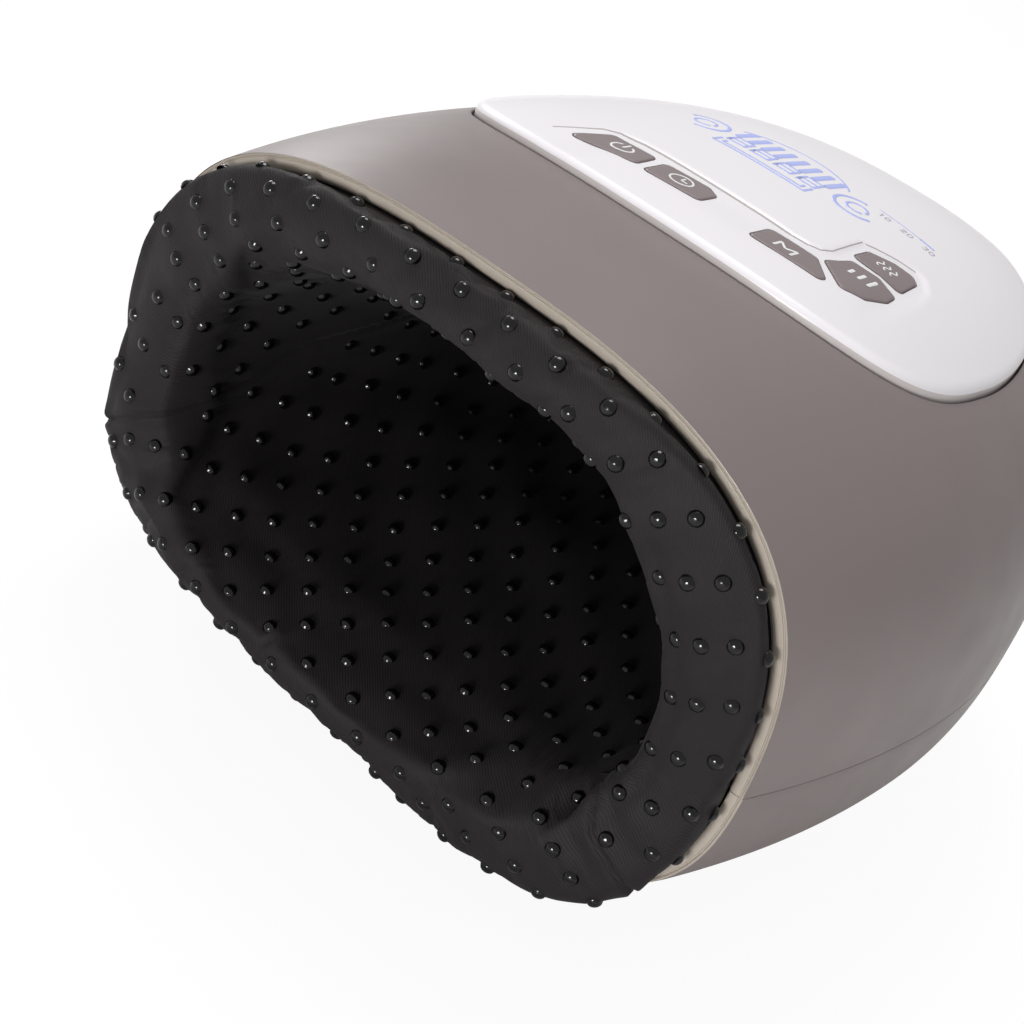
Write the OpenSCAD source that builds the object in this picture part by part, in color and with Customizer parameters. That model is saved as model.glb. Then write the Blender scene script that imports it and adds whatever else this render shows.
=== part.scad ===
// Cordless air-compression hand massager, standing on its four rubber feet.
// X is across, +Y runs from the hand opening to the tail, +Z is up. Millimetres.

/* [Casing] */
// Half the width of the casing where it is widest
half_w = 88; // [84:0.5:92]
// Half the width of the casing at the mouth
mouth_w = 79.5; // [77:0.5:82]
// Length of the casing from the mouth plane to the tail
body_l = 217; // [212:1:230]
// Height of the dome above the parting line
dome_h = 69; // [66:0.5:74]
// Height of the mouth above the parting line
mouth_h = 64; // [62:0.5:66]
// Depth of the belly below the parting line
belly_d = 45.5; // [44:0.5:50]
// Depth of the mouth below the parting line
mouth_d = 43; // [41:0.5:44]
// How far the top of the mouth leans out over the mouth plane
visor_lead = 16; // [8:1:20]
// How far the bottom of the mouth reaches out in front of the mouth plane
lip_lead = 2; // [0:0.5:6]
// Wall of the casing
wall = 3; // [2.5:0.25:3.5]
// Gap between the belly and the table
ground_gap = 3; // [2:0.5:5]

/* [Top panel] */
// Half the width of the panel
panel_w = 60.5; // [58:0.5:62]
// Place along the body where the panel is widest
panel_y = 80; // [78:1:84]
// Length of the panel in front of its widest place
panel_front = 45.5; // [44:0.5:48]
// Length of the panel behind its widest place
panel_back = 92; // [86:1:96]
// Thickness of the panel below the casing's surface
panel_t = 2.2; // [1.8:0.1:2.6]
// Height of the panel's edge above the casing's surface
panel_rise = 2.3; // [1.5:0.1:3]
// How much higher the panel's middle is than its edge
panel_crown = 2; // [1:0.25:3]
// Thickness of the panel's skin
panel_skin = 2.2; // [1.8:0.1:2.4]
// Gap round the panel
panel_gap = 0.4; // [0.3:0.05:0.6]
// Thickness of the ledge under the panel
ledge_t = 2; // [1.5:0.1:2.5]
// Width of the ledge under the panel, as a share of the panel's size
ledge_share = 0.07; // [0.05:0.01:0.09]

/* [Keys] */
// Gap round each key
key_gap = 0.3; // [0.2:0.05:0.5]
// Travel of each key
key_travel = 0.6; // [0.4:0.1:0.8]
// Width of the flange under each key
flange_w = 0.6; // [0.5:0.05:0.65]
// Thickness of the flange under each key
flange_t = 1; // [0.8:0.1:1.2]
// Radius of the corners of each key
key_corner = 1.4; // [1:0.1:1.8]
// Thickness of the circuit boards
board_t = 1.6; // [1.2:0.2:2]

/* [Hand pocket] */
// Visible width of the padded roll round the mouth
roll_w = 15; // [13:0.5:16]
// How far the roll bulges out in front of the rim
roll_bulge = 11; // [8:0.5:14]
// How far the roll reaches back behind the rim
roll_back = 6; // [5:0.5:7]
// Length that the drive takes behind the hand pocket
drive_room = 67; // [65:0.5:75]
// Room between the inside of the pocket and the casing's side
side_room = 30; // [28:0.5:34]
// Height of the pocket above the parting line inside
hand_up = 30; // [26:0.5:32]
// Depth of the pocket below the parting line inside
hand_down = 17; // [15:0.5:18]
// Thickness of the lining
liner_t = 1.2; // [1:0.1:1.5]
// Space between the lining and the rigid chamber
chamber_gap = 8; // [7.5:0.25:8.5]
// Gap between the air cells and the rigid chamber
cell_gap = 1.2; // [0.9:0.1:1.5]
// Wall of the rigid chamber
chamber_t = 2; // [1.5:0.25:2]
// Thickness of the heating film
film_t = 0.4; // [0.3:0.1:0.5]
// Gap between the layers that lie on each other
layer_gap = 0.3; // [0.2:0.05:0.4]

/* [Drive] */
// Radius of the pump's motor can
motor_r = 12; // [11:0.5:12]
// Length of the motor can
motor_l = 30; // [28:1:32]
// Radius of the pump head
pump_r = 13; // [12.5:0.5:13.5]
// Length of the pump head
pump_l = 22; // [20:1:24]
// Radius of the motor shaft
shaft_r = 1; // [0.8:0.1:1.2]
// Running clearance of the motor shaft and the valve plunger
run_gap = 0.05; // [0.03:0.01:0.08]
// Radius of the valve plunger
plunger_r = 2.5; // [2:0.25:2.75]
// Travel of the valve plunger
plunger_travel = 1.2; // [0.8:0.1:1.4]
// Outer radius of the air hoses
hose_r = 2; // [1.6:0.1:2]

/* [Power] */
// Width of the battery pack
battery_w = 52; // [46:1:54]
// Length of the battery pack
battery_l = 50; // [44:1:52]
// Thickness of the battery pack
battery_t = 7; // [6:0.25:7.5]
// Radius of the shanks of the case screws
screw_r = 1.5; // [1.3:0.1:1.6]
// Radius of the heads of the case screws
head_r = 2.8; // [2.5:0.1:2.9]
// Radius of the rubber feet
foot_r = 7; // [6:0.25:8]

/* [Hidden] */

// The parting line's height, and the mouth plane's place with the whole centred on Y
seam_z = belly_d + ground_gap;
pocket_l = body_l - drive_room;
hand_w = half_w - side_room;
lead_exp = 1.4;
roll_mid = mouth_h - wall - layer_gap - (roll_w + liner_t) / 2;
front_reach = roll_bulge - lead(roll_mid);
mouth_y = -(body_l - front_reach) / 2;
fine = 48;
taupe = [0.53, 0.49, 0.475];
dark_plastic = [0.2, 0.2, 0.21];
board_green = [0.08, 0.32, 0.18];

// Shape of the body: shares of the length and exponents of the curves
widest_at = 0.32;
highest_at = 0.45;
plan_exp = 1.9;
side_exp = [2.4, 2.6];
mouth_exp = 2.9;
tail_exp = 2.65;
belly_exp = 2.75;
pocket_exp = 2.4;
panel_exps = [3, 1.8];

function spow(v, e) = sign(v) * pow(abs(v), e);
function mix(a, b, t) = a + (b - a) * t;

// Size at a place s along the body: front at the mouth, full at peak, nothing at the tail
function swell(s, front, full, peak, p, q) = s < peak
    ? full - (full - front) * pow((peak - s) / peak, 2)
    : full * pow(max(0, 1 - pow((s - peak) / (1 - peak), p)), 1 / q);
function body_w(s, inset) = swell(s, mouth_w - inset, half_w - inset, widest_at, plan_exp, plan_exp);
function body_h(s, inset) = swell(s, mouth_h - inset, dome_h - inset, highest_at, side_exp[0], side_exp[1]);
function body_d(s, inset) = swell(s, mouth_d - inset, belly_d - inset, widest_at, plan_exp, plan_exp);
function section_exp(s, up) = up ? mix(mouth_exp, tail_exp, s) : belly_exp;
function lead(z) = z > 0 ? -visor_lead * pow(z / dome_h, lead_exp) : lip_lead * z / belly_d;

// Point of the casing at a place s, at an angle a round the section, an inset below the surface
function body_pt(s, a, inset) =
    let(up = sin(a) >= 0,
        e = 2 / section_exp(s, up),
        x = body_w(s, inset) * spow(cos(a), e),
        z = (up ? body_h(s, inset) : body_d(s, inset)) * spow(sin(a), e))
    [x, mouth_y + (body_l - inset) * s + (1 - s) * lead(z), seam_z + z];

// Place and angle on the dome that lie over a point of the plan
function dome_z(x, s) = body_h(s, 0) * pow(max(0, 1 - pow(min(1, abs(x) / body_w(s, 0)),
    section_exp(s, true))), 1 / section_exp(s, true));
function plan_s(x, y, z, turns) =
    let(s = min(0.9999, max(0, (y - lead(z)) / (body_l - lead(z)))))
    turns == 0 ? s : plan_s(x, y, dome_z(x, s), turns - 1);
function plan_sa(x, y) =
    let(s = plan_s(x, y, dome_h, 8),
        c = pow(min(1, abs(x) / body_w(s, 0)), section_exp(s, true) / 2))
    [s, x < 0 ? 180 - acos(c) : acos(c)];
function dome_pt(x, y) = let(sa = plan_sa(x, y)) body_pt(sa[0], sa[1], 0);
function panel_r(x, y) =
    let(e = panel_exps[y < panel_y ? 0 : 1], half = y < panel_y ? panel_front : panel_back)
    pow(pow(abs(x) / panel_w, e) + pow(abs(y - panel_y) / half, e), 1 / e);
function lift(r) = panel_rise + panel_crown * max(0, 1 - r * r);
function top_z(x, y) = dome_pt(x, y)[2] + lift(panel_r(x, y));

// Outline of the panel at an angle t, scaled by r about its widest place
function panel_xy(t, r, grow) =
    let(e = 2 / panel_exps[sin(t) < 0 ? 0 : 1])
    [r * (panel_w + grow) * spow(cos(t), e),
     panel_y + r * ((sin(t) < 0 ? panel_front : panel_back) + grow) * spow(sin(t), e)];

// Faces of a grid of rows and columns that closes on itself where asked
function grid_faces(rows, cols, wrap_rows, wrap_cols) = [
    for (i = [0 : rows - (wrap_rows ? 1 : 2)], j = [0 : cols - (wrap_cols ? 1 : 2)])
        let(a = i * cols + j,
            b = i * cols + (j + 1) % cols,
            c = ((i + 1) % rows) * cols + (j + 1) % cols,
            d = ((i + 1) % rows) * cols + j)
        each [[a, b, c], [a, c, d]]
];
function flip(faces) = [for (f = faces) [f[2], f[1], f[0]]];

// The upper casing is one band of rows that runs round the panel's opening
mouth_steps = 36;
side_steps = 18;
loop_n = mouth_steps + 2 * side_steps;
edge_rows = 10;
function loop_edge(i) = i <= mouth_steps ? [0, 180 * i / mouth_steps]
    : i < mouth_steps + side_steps ? [sin(90 * (i - mouth_steps) / side_steps), 180]
    : i == mouth_steps + side_steps ? [1, 90]
    : [sin(90 * (loop_n - i) / side_steps), 0];
function loop_angle(i) = i <= mouth_steps ? -45 - 90 * i / mouth_steps
    : -135 - 135 * (i - mouth_steps) / side_steps;
// Place and angle of a point of the band: from the mouth it follows the section's angle,
// and towards the tail it runs straight in the plan
function shell_sa(i, k) =
    let(p = panel_xy(loop_angle(i), 1, panel_gap),
        from = loop_edge(i),
        to = plan_sa(p[0], p[1]),
        t = pow(k / edge_rows, 2),
        turned = [sin(mix(asin(from[0]), asin(to[0]), t)), mix(from[1], to[1], t)],
        u = pow(k / edge_rows, tail_exp),
        edge_x = (i < mouth_steps + side_steps ? -1 : 1) * body_w(from[0], 0),
        straight = plan_sa(mix(edge_x, p[0], u), mix(body_l * from[0], p[1], u)),
        share = ease(max(0, 1 - abs(i - mouth_steps - side_steps) / side_steps)))
    i <= mouth_steps || k == 0 ? turned
    : [mix(turned[0], straight[0], share), mix(turned[1], straight[1], share)];
function shell_row(k, inset) = [for (i = [0 : loop_n - 1])
    let(sa = shell_sa(i, k)) body_pt(sa[0], sa[1], inset)];
function ledge_row(r, drop) = [for (i = [0 : loop_n - 1])
    let(p = panel_xy(loop_angle(i), r, panel_gap)) dome_pt(p[0], p[1]) - [0, 0, drop]];

// Skin between two offsets of a surface, from v0 to v1 and from angle a0 to a1
function surface_pt(kind, v, a, off) = kind == "body" ? body_pt(v, a, -off) : pocket_pt(v, a, off);
module skin(kind, v0, v1, a0, a1, inner, outer, nv, na) {
    closed = v1 == 1;
    rows = closed ? nv : nv + 1;
    function place(i) = closed ? mix(v0, 1, sin(90 * i / nv)) : mix(v0, v1, i / nv);
    ring_n = 2 * (na + 1);
    rings = [for (i = [0 : rows - 1]) each concat(
        [for (j = [0 : na]) surface_pt(kind, place(i), mix(a0, a1, j / na), outer)],
        [for (j = [na : -1 : 0]) surface_pt(kind, place(i), mix(a0, a1, j / na), inner)])];
    walls = grid_faces(rows, ring_n, false, true);
    cap0 = [for (j = [0 : na - 1]) each [[j, ring_n - 1 - j, j + 1],
        [j + 1, ring_n - 1 - j, ring_n - 2 - j]]];
    last = (rows - 1) * ring_n;
    cap1 = [for (f = cap0) [last + f[2], last + f[1], last + f[0]]];
    poles = closed ? [surface_pt(kind, 1, 90, outer), surface_pt(kind, 1, 90, inner)] : [];
    pole = rows * ring_n;
    pole_faces = concat(
        [for (j = [0 : na - 1]) [last + j, last + j + 1, pole]],
        [for (j = [0 : na - 1]) [last + na + 1 + j, last + na + 2 + j, pole + 1]],
        [[last + na, last + na + 1, pole], [last + na + 1, pole + 1, pole],
         [last + ring_n - 1, last, pole], [last + ring_n - 1, pole, pole + 1]]);
    polyhedron(concat(rings, poles), concat(walls, cap0, closed ? pole_faces : cap1));
}

// Surface of the hand pocket: wide at the roll, narrower inside, closed at its end
pocket_start = 0.6 * roll_back;
inside = wall + layer_gap + roll_w;
function ease(t) = t * t * (3 - 2 * t);
function pocket_size(v, front, full) = v < 0.5 ? mix(front, full, ease(2 * v))
    : full * pow(max(0, 1 - pow(2 * v - 1, 3)), 1 / pocket_exp);
function pocket_pt(v, a, off) =
    let(up = sin(a) >= 0,
        x = pocket_size(v, mouth_w - inside + off, hand_w + off) * spow(cos(a), 2 / pocket_exp),
        z = (up ? pocket_size(v, mouth_h - inside + off, hand_up + off)
                : pocket_size(v, mouth_d - inside + off, hand_down + off)) * spow(sin(a), 2 / pocket_exp))
    [x, mouth_y + mix(lead(z) + pocket_start, pocket_l + off, v), seam_z + z];

// A tube of radius r along a list of points
function unit(v) = v / norm(v);
module hose(points, r, sides = 8) {
    n = len(points);
    function along(i) = unit(points[min(n - 1, i + 1)] - points[max(0, i - 1)]);
    function across(i) = unit(cross(along(i), abs(along(i)[2]) > 0.9 ? [1, 0, 0] : [0, 0, 1]));
    rings = [for (i = [0 : n - 1]) let(u = across(i), w = cross(along(i), u))
        each [for (k = [0 : sides - 1]) let(t = 360 * k / sides)
            points[i] + r * (u * cos(t) + w * sin(t))]];
    ends = concat([for (k = [1 : sides - 2]) [0, k, k + 1]],
        [for (k = [1 : sides - 2]) [(n - 1) * sides, (n - 1) * sides + k + 1, (n - 1) * sides + k]]);
    polyhedron(rings, concat(flip(grid_faces(n, sides, false, true)), ends));
}

// Heights of the belly's surface and of the pocket's surface below a point of the plan
function belly_z(x, y, inset) =
    let(s = y / (body_l - inset))
    seam_z - body_d(s, inset) * pow(1 - pow(abs(x) / body_w(s, inset), belly_exp), 1 / belly_exp);
function pocket_v(y, off) = (y - pocket_start) / (pocket_l + off - pocket_start);
function pocket_z(x, y, off, up) =
    let(v = pocket_v(y, off),
        w = pocket_size(v, mouth_w - inside + off, hand_w + off),
        d = up ? pocket_size(v, mouth_h - inside + off, hand_up + off)
               : pocket_size(v, mouth_d - inside + off, hand_down + off))
    seam_z + (up ? 1 : -1) * d * pow(1 - pow(abs(x) / w, pocket_exp), 1 / pocket_exp);

// A post at a point of the plan, from one height to another
module post(x, y, r, z0, z1) translate([x, mouth_y + y, z0]) cylinder(r = r, h = z1 - z0, $fn = fine);
module brick(x, y, z, size) translate([x, mouth_y + y, z]) cube(size);

// Places of the case screws, the feet, the chamber's legs and the bay's posts
case_posts = [[-half_w + 13.5, 100], [half_w - 13.5, 100], [-17, body_l - 13], [17, body_l - 13]];
post_r = head_r + 1.4;
head_drop = [23, 23, 9, 9];
head_h = 2;
feet = [[-46, 40], [46, 40], [-34, 136], [34, 136]];
foot_h = 2.5;
peg_r = 2;
peg_h = 3;
legs = [[-52, 60], [52, 60], [-50, 105], [50, 105]];
leg_r = 3;
leg_drop = 31;
bay_y = pocket_l + chamber_gap + chamber_t + 1.5;
bay_wall = 2;
bay_post_y = bay_y + bay_wall + head_r + layer_gap;
bay_posts = [[-26, bay_post_y], [26, bay_post_y]];
bay_foot = 19;
slot_w = 9.4;
slot_h = 3.6;
slot_up = 11;
slot_t = 0.35;
slot_gap = 0.2;
socket_l = 8;
socket_end = body_l - 0.7;
socket_board_z = seam_z + slot_up - slot_h / 2 + slot_t;
socket_half = 7;
tail_y = body_l - 12;
socket_back = tail_y - 5;
socket_front = 5;
socket_posts = [[-4.5, tail_y], [4.5, tail_y]];

// The outline of the charging slot at the tail, grown and run along Y
module case_slot(grow, y, depth) translate([0, mouth_y + y, seam_z + slot_up]) rotate([-90, 0, 0]) {
    half = (slot_w - slot_h) / 2;
    translate([-half, -slot_h / 2 - grow, 0]) cube([2 * half, slot_h + 2 * grow, depth]);
    for (side = [-1, 1]) translate([side * half, 0, 0])
        cylinder(r = slot_h / 2 + grow, h = depth, $fn = fine);
}

module upper_shell() color(taupe) difference() {
    union() {
        upper_skin();
        for (p = case_posts) post(p[0], p[1], post_r, seam_z, post_top(p));
    }
    for (p = case_posts) post(p[0], p[1], screw_r, seam_z - 1, seam_z + thread_l);
    case_slot(slot_gap, tail_y, body_l - tail_y + 8);
}
thread_l = 12;
function post_top(p) = dome_pt(p[0] + sign(p[0]) * post_r, p[1] + post_r)[2] - 0.6 * wall;
module upper_skin() {
    outer = [for (k = [0 : edge_rows]) shell_row(k, 0)];
    ledge = [ledge_row(1, panel_t), ledge_row(1 - ledge_share, panel_t),
        ledge_row(1 - ledge_share, panel_t + ledge_t), ledge_row(1, panel_t + ledge_t)];
    inner = [for (k = [edge_rows - 1 : -1 : 0]) shell_row(k, wall)];
    rows = concat(outer, ledge, inner);
    polyhedron([for (r = rows) each r], grid_faces(len(rows), loop_n, true, true));
}

// The belly as a solid bowl with a flat top, an inset below its surface
bowl_n = [16, 20];
module bowl(inset) {
    cols = bowl_n[1] + 1;
    rings = [for (i = [0 : bowl_n[0] - 1], j = [0 : bowl_n[1]])
        body_pt(sin(90 * i / bowl_n[0]), 180 + 180 * j / bowl_n[1], inset)];
    poles = [body_pt(1, 270, inset), body_pt(0, 270, inset + mouth_d / 2)];
    tail = len(rings);
    last = tail - cols;
    fans = [for (j = [0 : cols - 1]) let(k = (j + 1) % cols) each
        [[last + j, last + k, tail], [tail + 1, k, j]]];
    polyhedron(concat(rings, poles), concat(grid_faces(bowl_n[0], cols, false, true), fans));
}
module lower_shell() color(taupe) difference() {
    union() {
        skin("body", 0, 1, 180, 360, -wall, 0, 18, 30);
        intersection() {
            for (p = case_posts) post(p[0], p[1], post_r, 0, seam_z);
            bowl(wall / 2);
        }
        for (p = feet)
            post(p[0], p[1], foot_r + 1, foot_h, belly_z(abs(p[0]) + foot_r + 1, p[1], wall / 2));
        for (p = legs) wall_post(p, leg_r, seam_z - leg_drop);
        for (p = bay_posts) wall_post(p, leg_r, seam_z - bay_foot);
        for (p = tray_posts) wall_post(p, leg_r, tray_z);
        for (p = socket_posts) wall_post(p, 2, socket_board_z - board_t);
    }
    for (i = [0 : 3]) let(p = case_posts[i]) {
        post(p[0], p[1], head_r + head_gap, 0, seam_z - head_drop[i]);
        post(p[0], p[1], screw_r + screw_gap, 0, seam_z + 1);
    }
    for (p = feet) post(p[0], p[1], peg_r, 0, foot_h + peg_h);
    for (p = bay_posts) post(p[0], p[1], screw_r, seam_z - bay_foot - bay_thread, seam_z);
}
head_gap = 0.2;
screw_gap = 0.05;
bay_thread = 5;
module wall_post(p, r, z) post(p[0], p[1], r, belly_z(p[0], p[1], wall / 2), z);

// The panel: a skin with a rim that stands on the casing's ledge
panel_posts = [[-46, 60], [46, 60], [-40, 112], [40, 112]];
panel_post_r = 3;
panel_cols = 64;
function panel_row(r, up) = [for (i = [0 : panel_cols - 1])
    let(p = panel_xy(360 * i / panel_cols, r, 0)) dome_pt(p[0], p[1]) + [0, 0, up]];
module panel_skin_solid() {
    rows = concat([for (r = [0.3, 0.6, 0.85]) panel_row(r, lift(r))],
        [panel_row(0.97, lift(0.97) - 0.1), panel_row(0.99, lift(0.99) - 0.5),
            panel_row(1, panel_rise - 1.3), panel_row(1, -panel_t), panel_row(0.95, -panel_t)],
        [for (r = [0.945, 0.8, 0.55, 0.3]) panel_row(r, lift(r) - panel_skin)]);
    n = len(rows);
    top = n * panel_cols;
    fans = [for (i = [0 : panel_cols - 1]) let(k = (i + 1) % panel_cols) each
        [[top, k, i], [top + 1, (n - 1) * panel_cols + i, (n - 1) * panel_cols + k]]];
    polyhedron(concat([for (r = rows) each r],
        [dome_pt(0, panel_y) + [0, 0, lift(0)], dome_pt(0, panel_y) + [0, 0, lift(0) - panel_skin]]),
        concat(fans, grid_faces(n, panel_cols, false, true)));
}
module top_panel() color([0.88, 0.87, 0.89]) difference() {
    union() {
        panel_skin_solid();
        for (p = panel_posts)
            post(p[0], p[1], panel_post_r, on_board, top_z(p[0], p[1]) - panel_skin / 2);
    }
    for (k = [0 : 4]) translate([0, mouth_y, board_z]) linear_extrude(40) key_outline(k, key_gap);
    for (p = panel_posts) post(p[0], p[1], screw_r - 0.5, board_z, on_board + 5);
}

// Outlines of the five keys in the plan, from the mouth plane: power, timer, mode, intensity, heat
key_outlines = [
    [[-29.6, 45.5], [-14.2, 48], [-14.7, 56.8], [-25.4, 56.8]],
    [[-12, 47.4], [1.2, 48.8], [1.2, 55.8], [-2, 57.8], [-12.3, 56.8]],
    [[13.8, 48], [29.8, 50.6], [30.4, 52.4], [24.6, 58.6], [13.8, 57]],
    [[25.6, 60], [33.2, 53.8], [37.4, 57.4], [39.4, 64], [38.8, 68.8], [33.5, 69.8], [27.8, 68.4],
        [27, 64.4]],
    [[26.4, 70.6], [32.3, 71.2], [38.2, 72], [37.2, 81.6], [35, 83.6], [31, 82.2], [26.4, 78]],
];
function centre(p) = [for (k = [0, 1]) (min([for (q = p) q[k]]) + max([for (q = p) q[k]])) / 2];
function key_top(k) = min([for (q = key_outlines[k]) top_z(q[0], q[1])]);
flange_gap = 0.5;
function flange_z(k) = key_top(k) - panel_skin - flange_gap - flange_t;
stem_r = 1.8;
stem_gap = 0.1;
module key_outline(k, grow) offset(r = key_corner + grow, $fn = 24) offset(delta = -key_corner)
    polygon(key_outlines[k]);
// A key: a cap that follows the panel, a flange below the panel and a stem over its switch
module key(k) color(taupe) {
    c = centre(key_outlines[k]);
    translate([0, mouth_y, flange_z(k)]) linear_extrude(flange_t) key_outline(k, flange_w);
    intersection() {
        translate([0, mouth_y, flange_z(k)]) linear_extrude(30) key_outline(k, 0);
        key_block(k, flange_z(k));
    }
    post(c[0], c[1], stem_r, switch_top + key_travel + stem_gap, flange_z(k) + flange_t / 2);
}
key_proud = 0.1;
module key_block(k, z) {
    lo = [for (q = [0, 1]) min([for (p = key_outlines[k]) p[q]]) - 2];
    hi = [for (q = [0, 1]) max([for (p = key_outlines[k]) p[q]]) + 2];
    n = 4;
    top = [for (i = [0 : n], j = [0 : n]) let(x = mix(lo[0], hi[0], j / n), y = mix(lo[1], hi[1], i / n))
        [x, mouth_y + y, top_z(x, y) + key_proud]];
    m = (n + 1) * (n + 1);
    base = [for (p = top) [p[0], p[1], z]];
    rim = concat([for (j = [0 : n - 1]) j], [for (i = [0 : n - 1]) i * (n + 1) + n],
        [for (j = [n : -1 : 1]) n * (n + 1) + j], [for (i = [n : -1 : 1]) i * (n + 1)]);
    polyhedron(concat(top, base), concat(flip(grid_faces(n + 1, n + 1, false, false)),
        [for (f = grid_faces(n + 1, n + 1, false, false)) [f[0] + m, f[1] + m, f[2] + m]],
        [for (i = [0 : len(rim) - 1]) let(a = rim[i], b = rim[(i + 1) % len(rim)])
            each [[a, b, b + m], [a, b + m, a + m]]]));
}
module power_key() key(0);
module timer_key() key(1);
module mode_key() key(2);
module intensity_key() key(3);
module heat_key() key(4);

// The control board under the panel, with the switches, the display and the buzzer on it
stem_l = 1;
switch_h = 4.3;
switch_top = min([for (k = [0 : 4]) flange_z(k)]) - stem_l - key_travel - stem_gap;
board_z = switch_top - switch_h - board_t;
on_board = board_z + board_t;
board_x = 50;
board_y = [42, 118];
guide_x = 34;
guide_y = [87, 111];
guide_h = top_z(guide_x, guide_y[1]) - panel_skin - layer_gap - on_board;
plug_size = [12, 6, 4];
board_cut = [8, 12, 16];
module control_board() color(board_green) difference() {
    translate([0, mouth_y, board_z]) linear_extrude(board_t) polygon([
        [-board_x + board_cut[0], board_y[0]], [board_x - board_cut[0], board_y[0]],
        [board_x, board_y[0] + board_cut[1]], [board_x, board_y[1] - board_cut[2]],
        [board_x - board_cut[0], board_y[1]], [-board_x + board_cut[0], board_y[1]],
        [-board_x, board_y[1] - board_cut[2]], [-board_x, board_y[0] + board_cut[1]]]);
    for (p = panel_posts) post(p[0], p[1], screw_r - 0.4, board_z - 1, on_board + 1);
}
module key_plug() color([0.9, 0.9, 0.88])
    brick(-plug_size[0] / 2, board_y[1] - 1 - plug_size[1], board_z - plug_size[2], plug_size);
switch_w = 6;
button_r = 1.7;
button_h = 0.8;
module tact_switches() color([0.75, 0.75, 0.76]) for (k = [0 : 4]) let(c = centre(key_outlines[k])) {
    brick(c[0] - switch_w / 2, c[1] - switch_w / 2, on_board, [switch_w, switch_w, switch_h - button_h]);
    post(c[0], c[1], button_r, on_board, on_board + switch_h);
}
led_n = 6;
led_edge = 6;
led_row = 12;
led_bay = [9, 8];
led_size = [3, 2, 1.2];
guide_skin = 0.6;
led_cells = [for (row = [0, 1], i = [0 : led_n - 1])
    [mix(led_edge - guide_x, guide_x - led_edge, i / (led_n - 1)), guide_y[0] + led_edge + row * led_row]];
module light_guide() color([0.93, 0.93, 0.95]) difference() {
    brick(-guide_x, guide_y[0], on_board, [2 * guide_x, guide_y[1] - guide_y[0], guide_h]);
    for (c = led_cells) brick(c[0] - led_bay[0] / 2, c[1] - led_bay[1] / 2, board_z,
        [led_bay[0], led_bay[1], board_t + guide_h - guide_skin]);
}
module display_leds() color([0.9, 0.95, 1]) for (c = led_cells)
    brick(c[0] - led_size[0] / 2, c[1] - led_size[1] / 2, on_board, led_size);
module board_screws() color([0.7, 0.7, 0.72]) for (p = panel_posts) {
    post(p[0], p[1], screw_r - 0.5, board_z - 0.5, on_board + 4.5);
    post(p[0], p[1], head_r - 0.4, board_z - 1.8, board_z);
}
buzzer_at = [-40, 96];
buzzer_r = 4.5;
buzzer_h = 4;
module buzzer() color([0.1, 0.1, 0.1])
    post(buzzer_at[0], buzzer_at[1], buzzer_r, on_board, on_board + buzzer_h);

// The padded roll round the mouth
roll_cols = 64;
roll_rows = 12;
function roll_pt(a, t) =
    let(outer = body_pt(0, a, wall + layer_gap),
        inner = pocket_pt(0, a, -liner_t),
        mid = (outer + inner) / 2,
        reach = (outer - inner) / 2 * cos(t))
    [mid[0] + reach[0], mouth_y + lead(mid[2] - seam_z) - (t < 180 ? roll_bulge : roll_back) * sin(t),
     mid[2] + reach[2]];
module mouth_roll() color([0.06, 0.06, 0.065])
    polyhedron([for (i = [0 : roll_cols - 1], j = [0 : roll_rows - 1])
        roll_pt(360 * i / roll_cols, 360 * j / roll_rows)], grid_faces(roll_cols, roll_rows, true, true));

module liner_upper() color([0.06, 0.06, 0.065]) skin("pocket", 0, 1, 0, 180, -liner_t, 0, 10, 20);
module liner_lower() color([0.06, 0.06, 0.065]) skin("pocket", 0, 1, 180, 360, -liner_t, 0, 10, 20);

// The rigid chamber round the pocket, with the holes that the air nipples pass. A hole's place
// is given as a share of the pocket's depth, so that it stays between or over the air cells
chamber_v = (roll_back + 1) / pocket_l;
function deep(v) = mix(pocket_start + lead(hand_up), pocket_l, v);
nipples = [[14, deep(0.419)], [-14, deep(0.749)]];
lower_nipple = [38, deep(0.67)];
heater_pass = [-20, deep(0.553)];
nipple_r = 1.6;
nipple_h = 4;
nipple_gap = 0.1;
lead_hole_r = 2.2;
module chamber_upper() color(dark_plastic) difference() {
    skin("pocket", chamber_v, 1, 0, 180, chamber_gap, chamber_gap + chamber_t, 10, 20);
    for (p = nipples) post(p[0], p[1], nipple_r + nipple_gap, seam_z + 10, seam_z + dome_h);
    post(heater_pass[0], heater_pass[1], lead_hole_r, seam_z + 10, seam_z + dome_h);
}
module chamber_lower() color(dark_plastic) difference() {
    union() {
        skin("pocket", chamber_v, 1, 180, 360, chamber_gap, chamber_gap + chamber_t, 10, 20);
        for (p = legs) post(p[0], p[1], leg_r, seam_z - leg_drop,
            pocket_z(p[0], p[1], chamber_gap + chamber_t / 2, false));
    }
    post(lower_nipple[0], lower_nipple[1], nipple_r + nipple_gap, 0, seam_z - 10);
}

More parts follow.
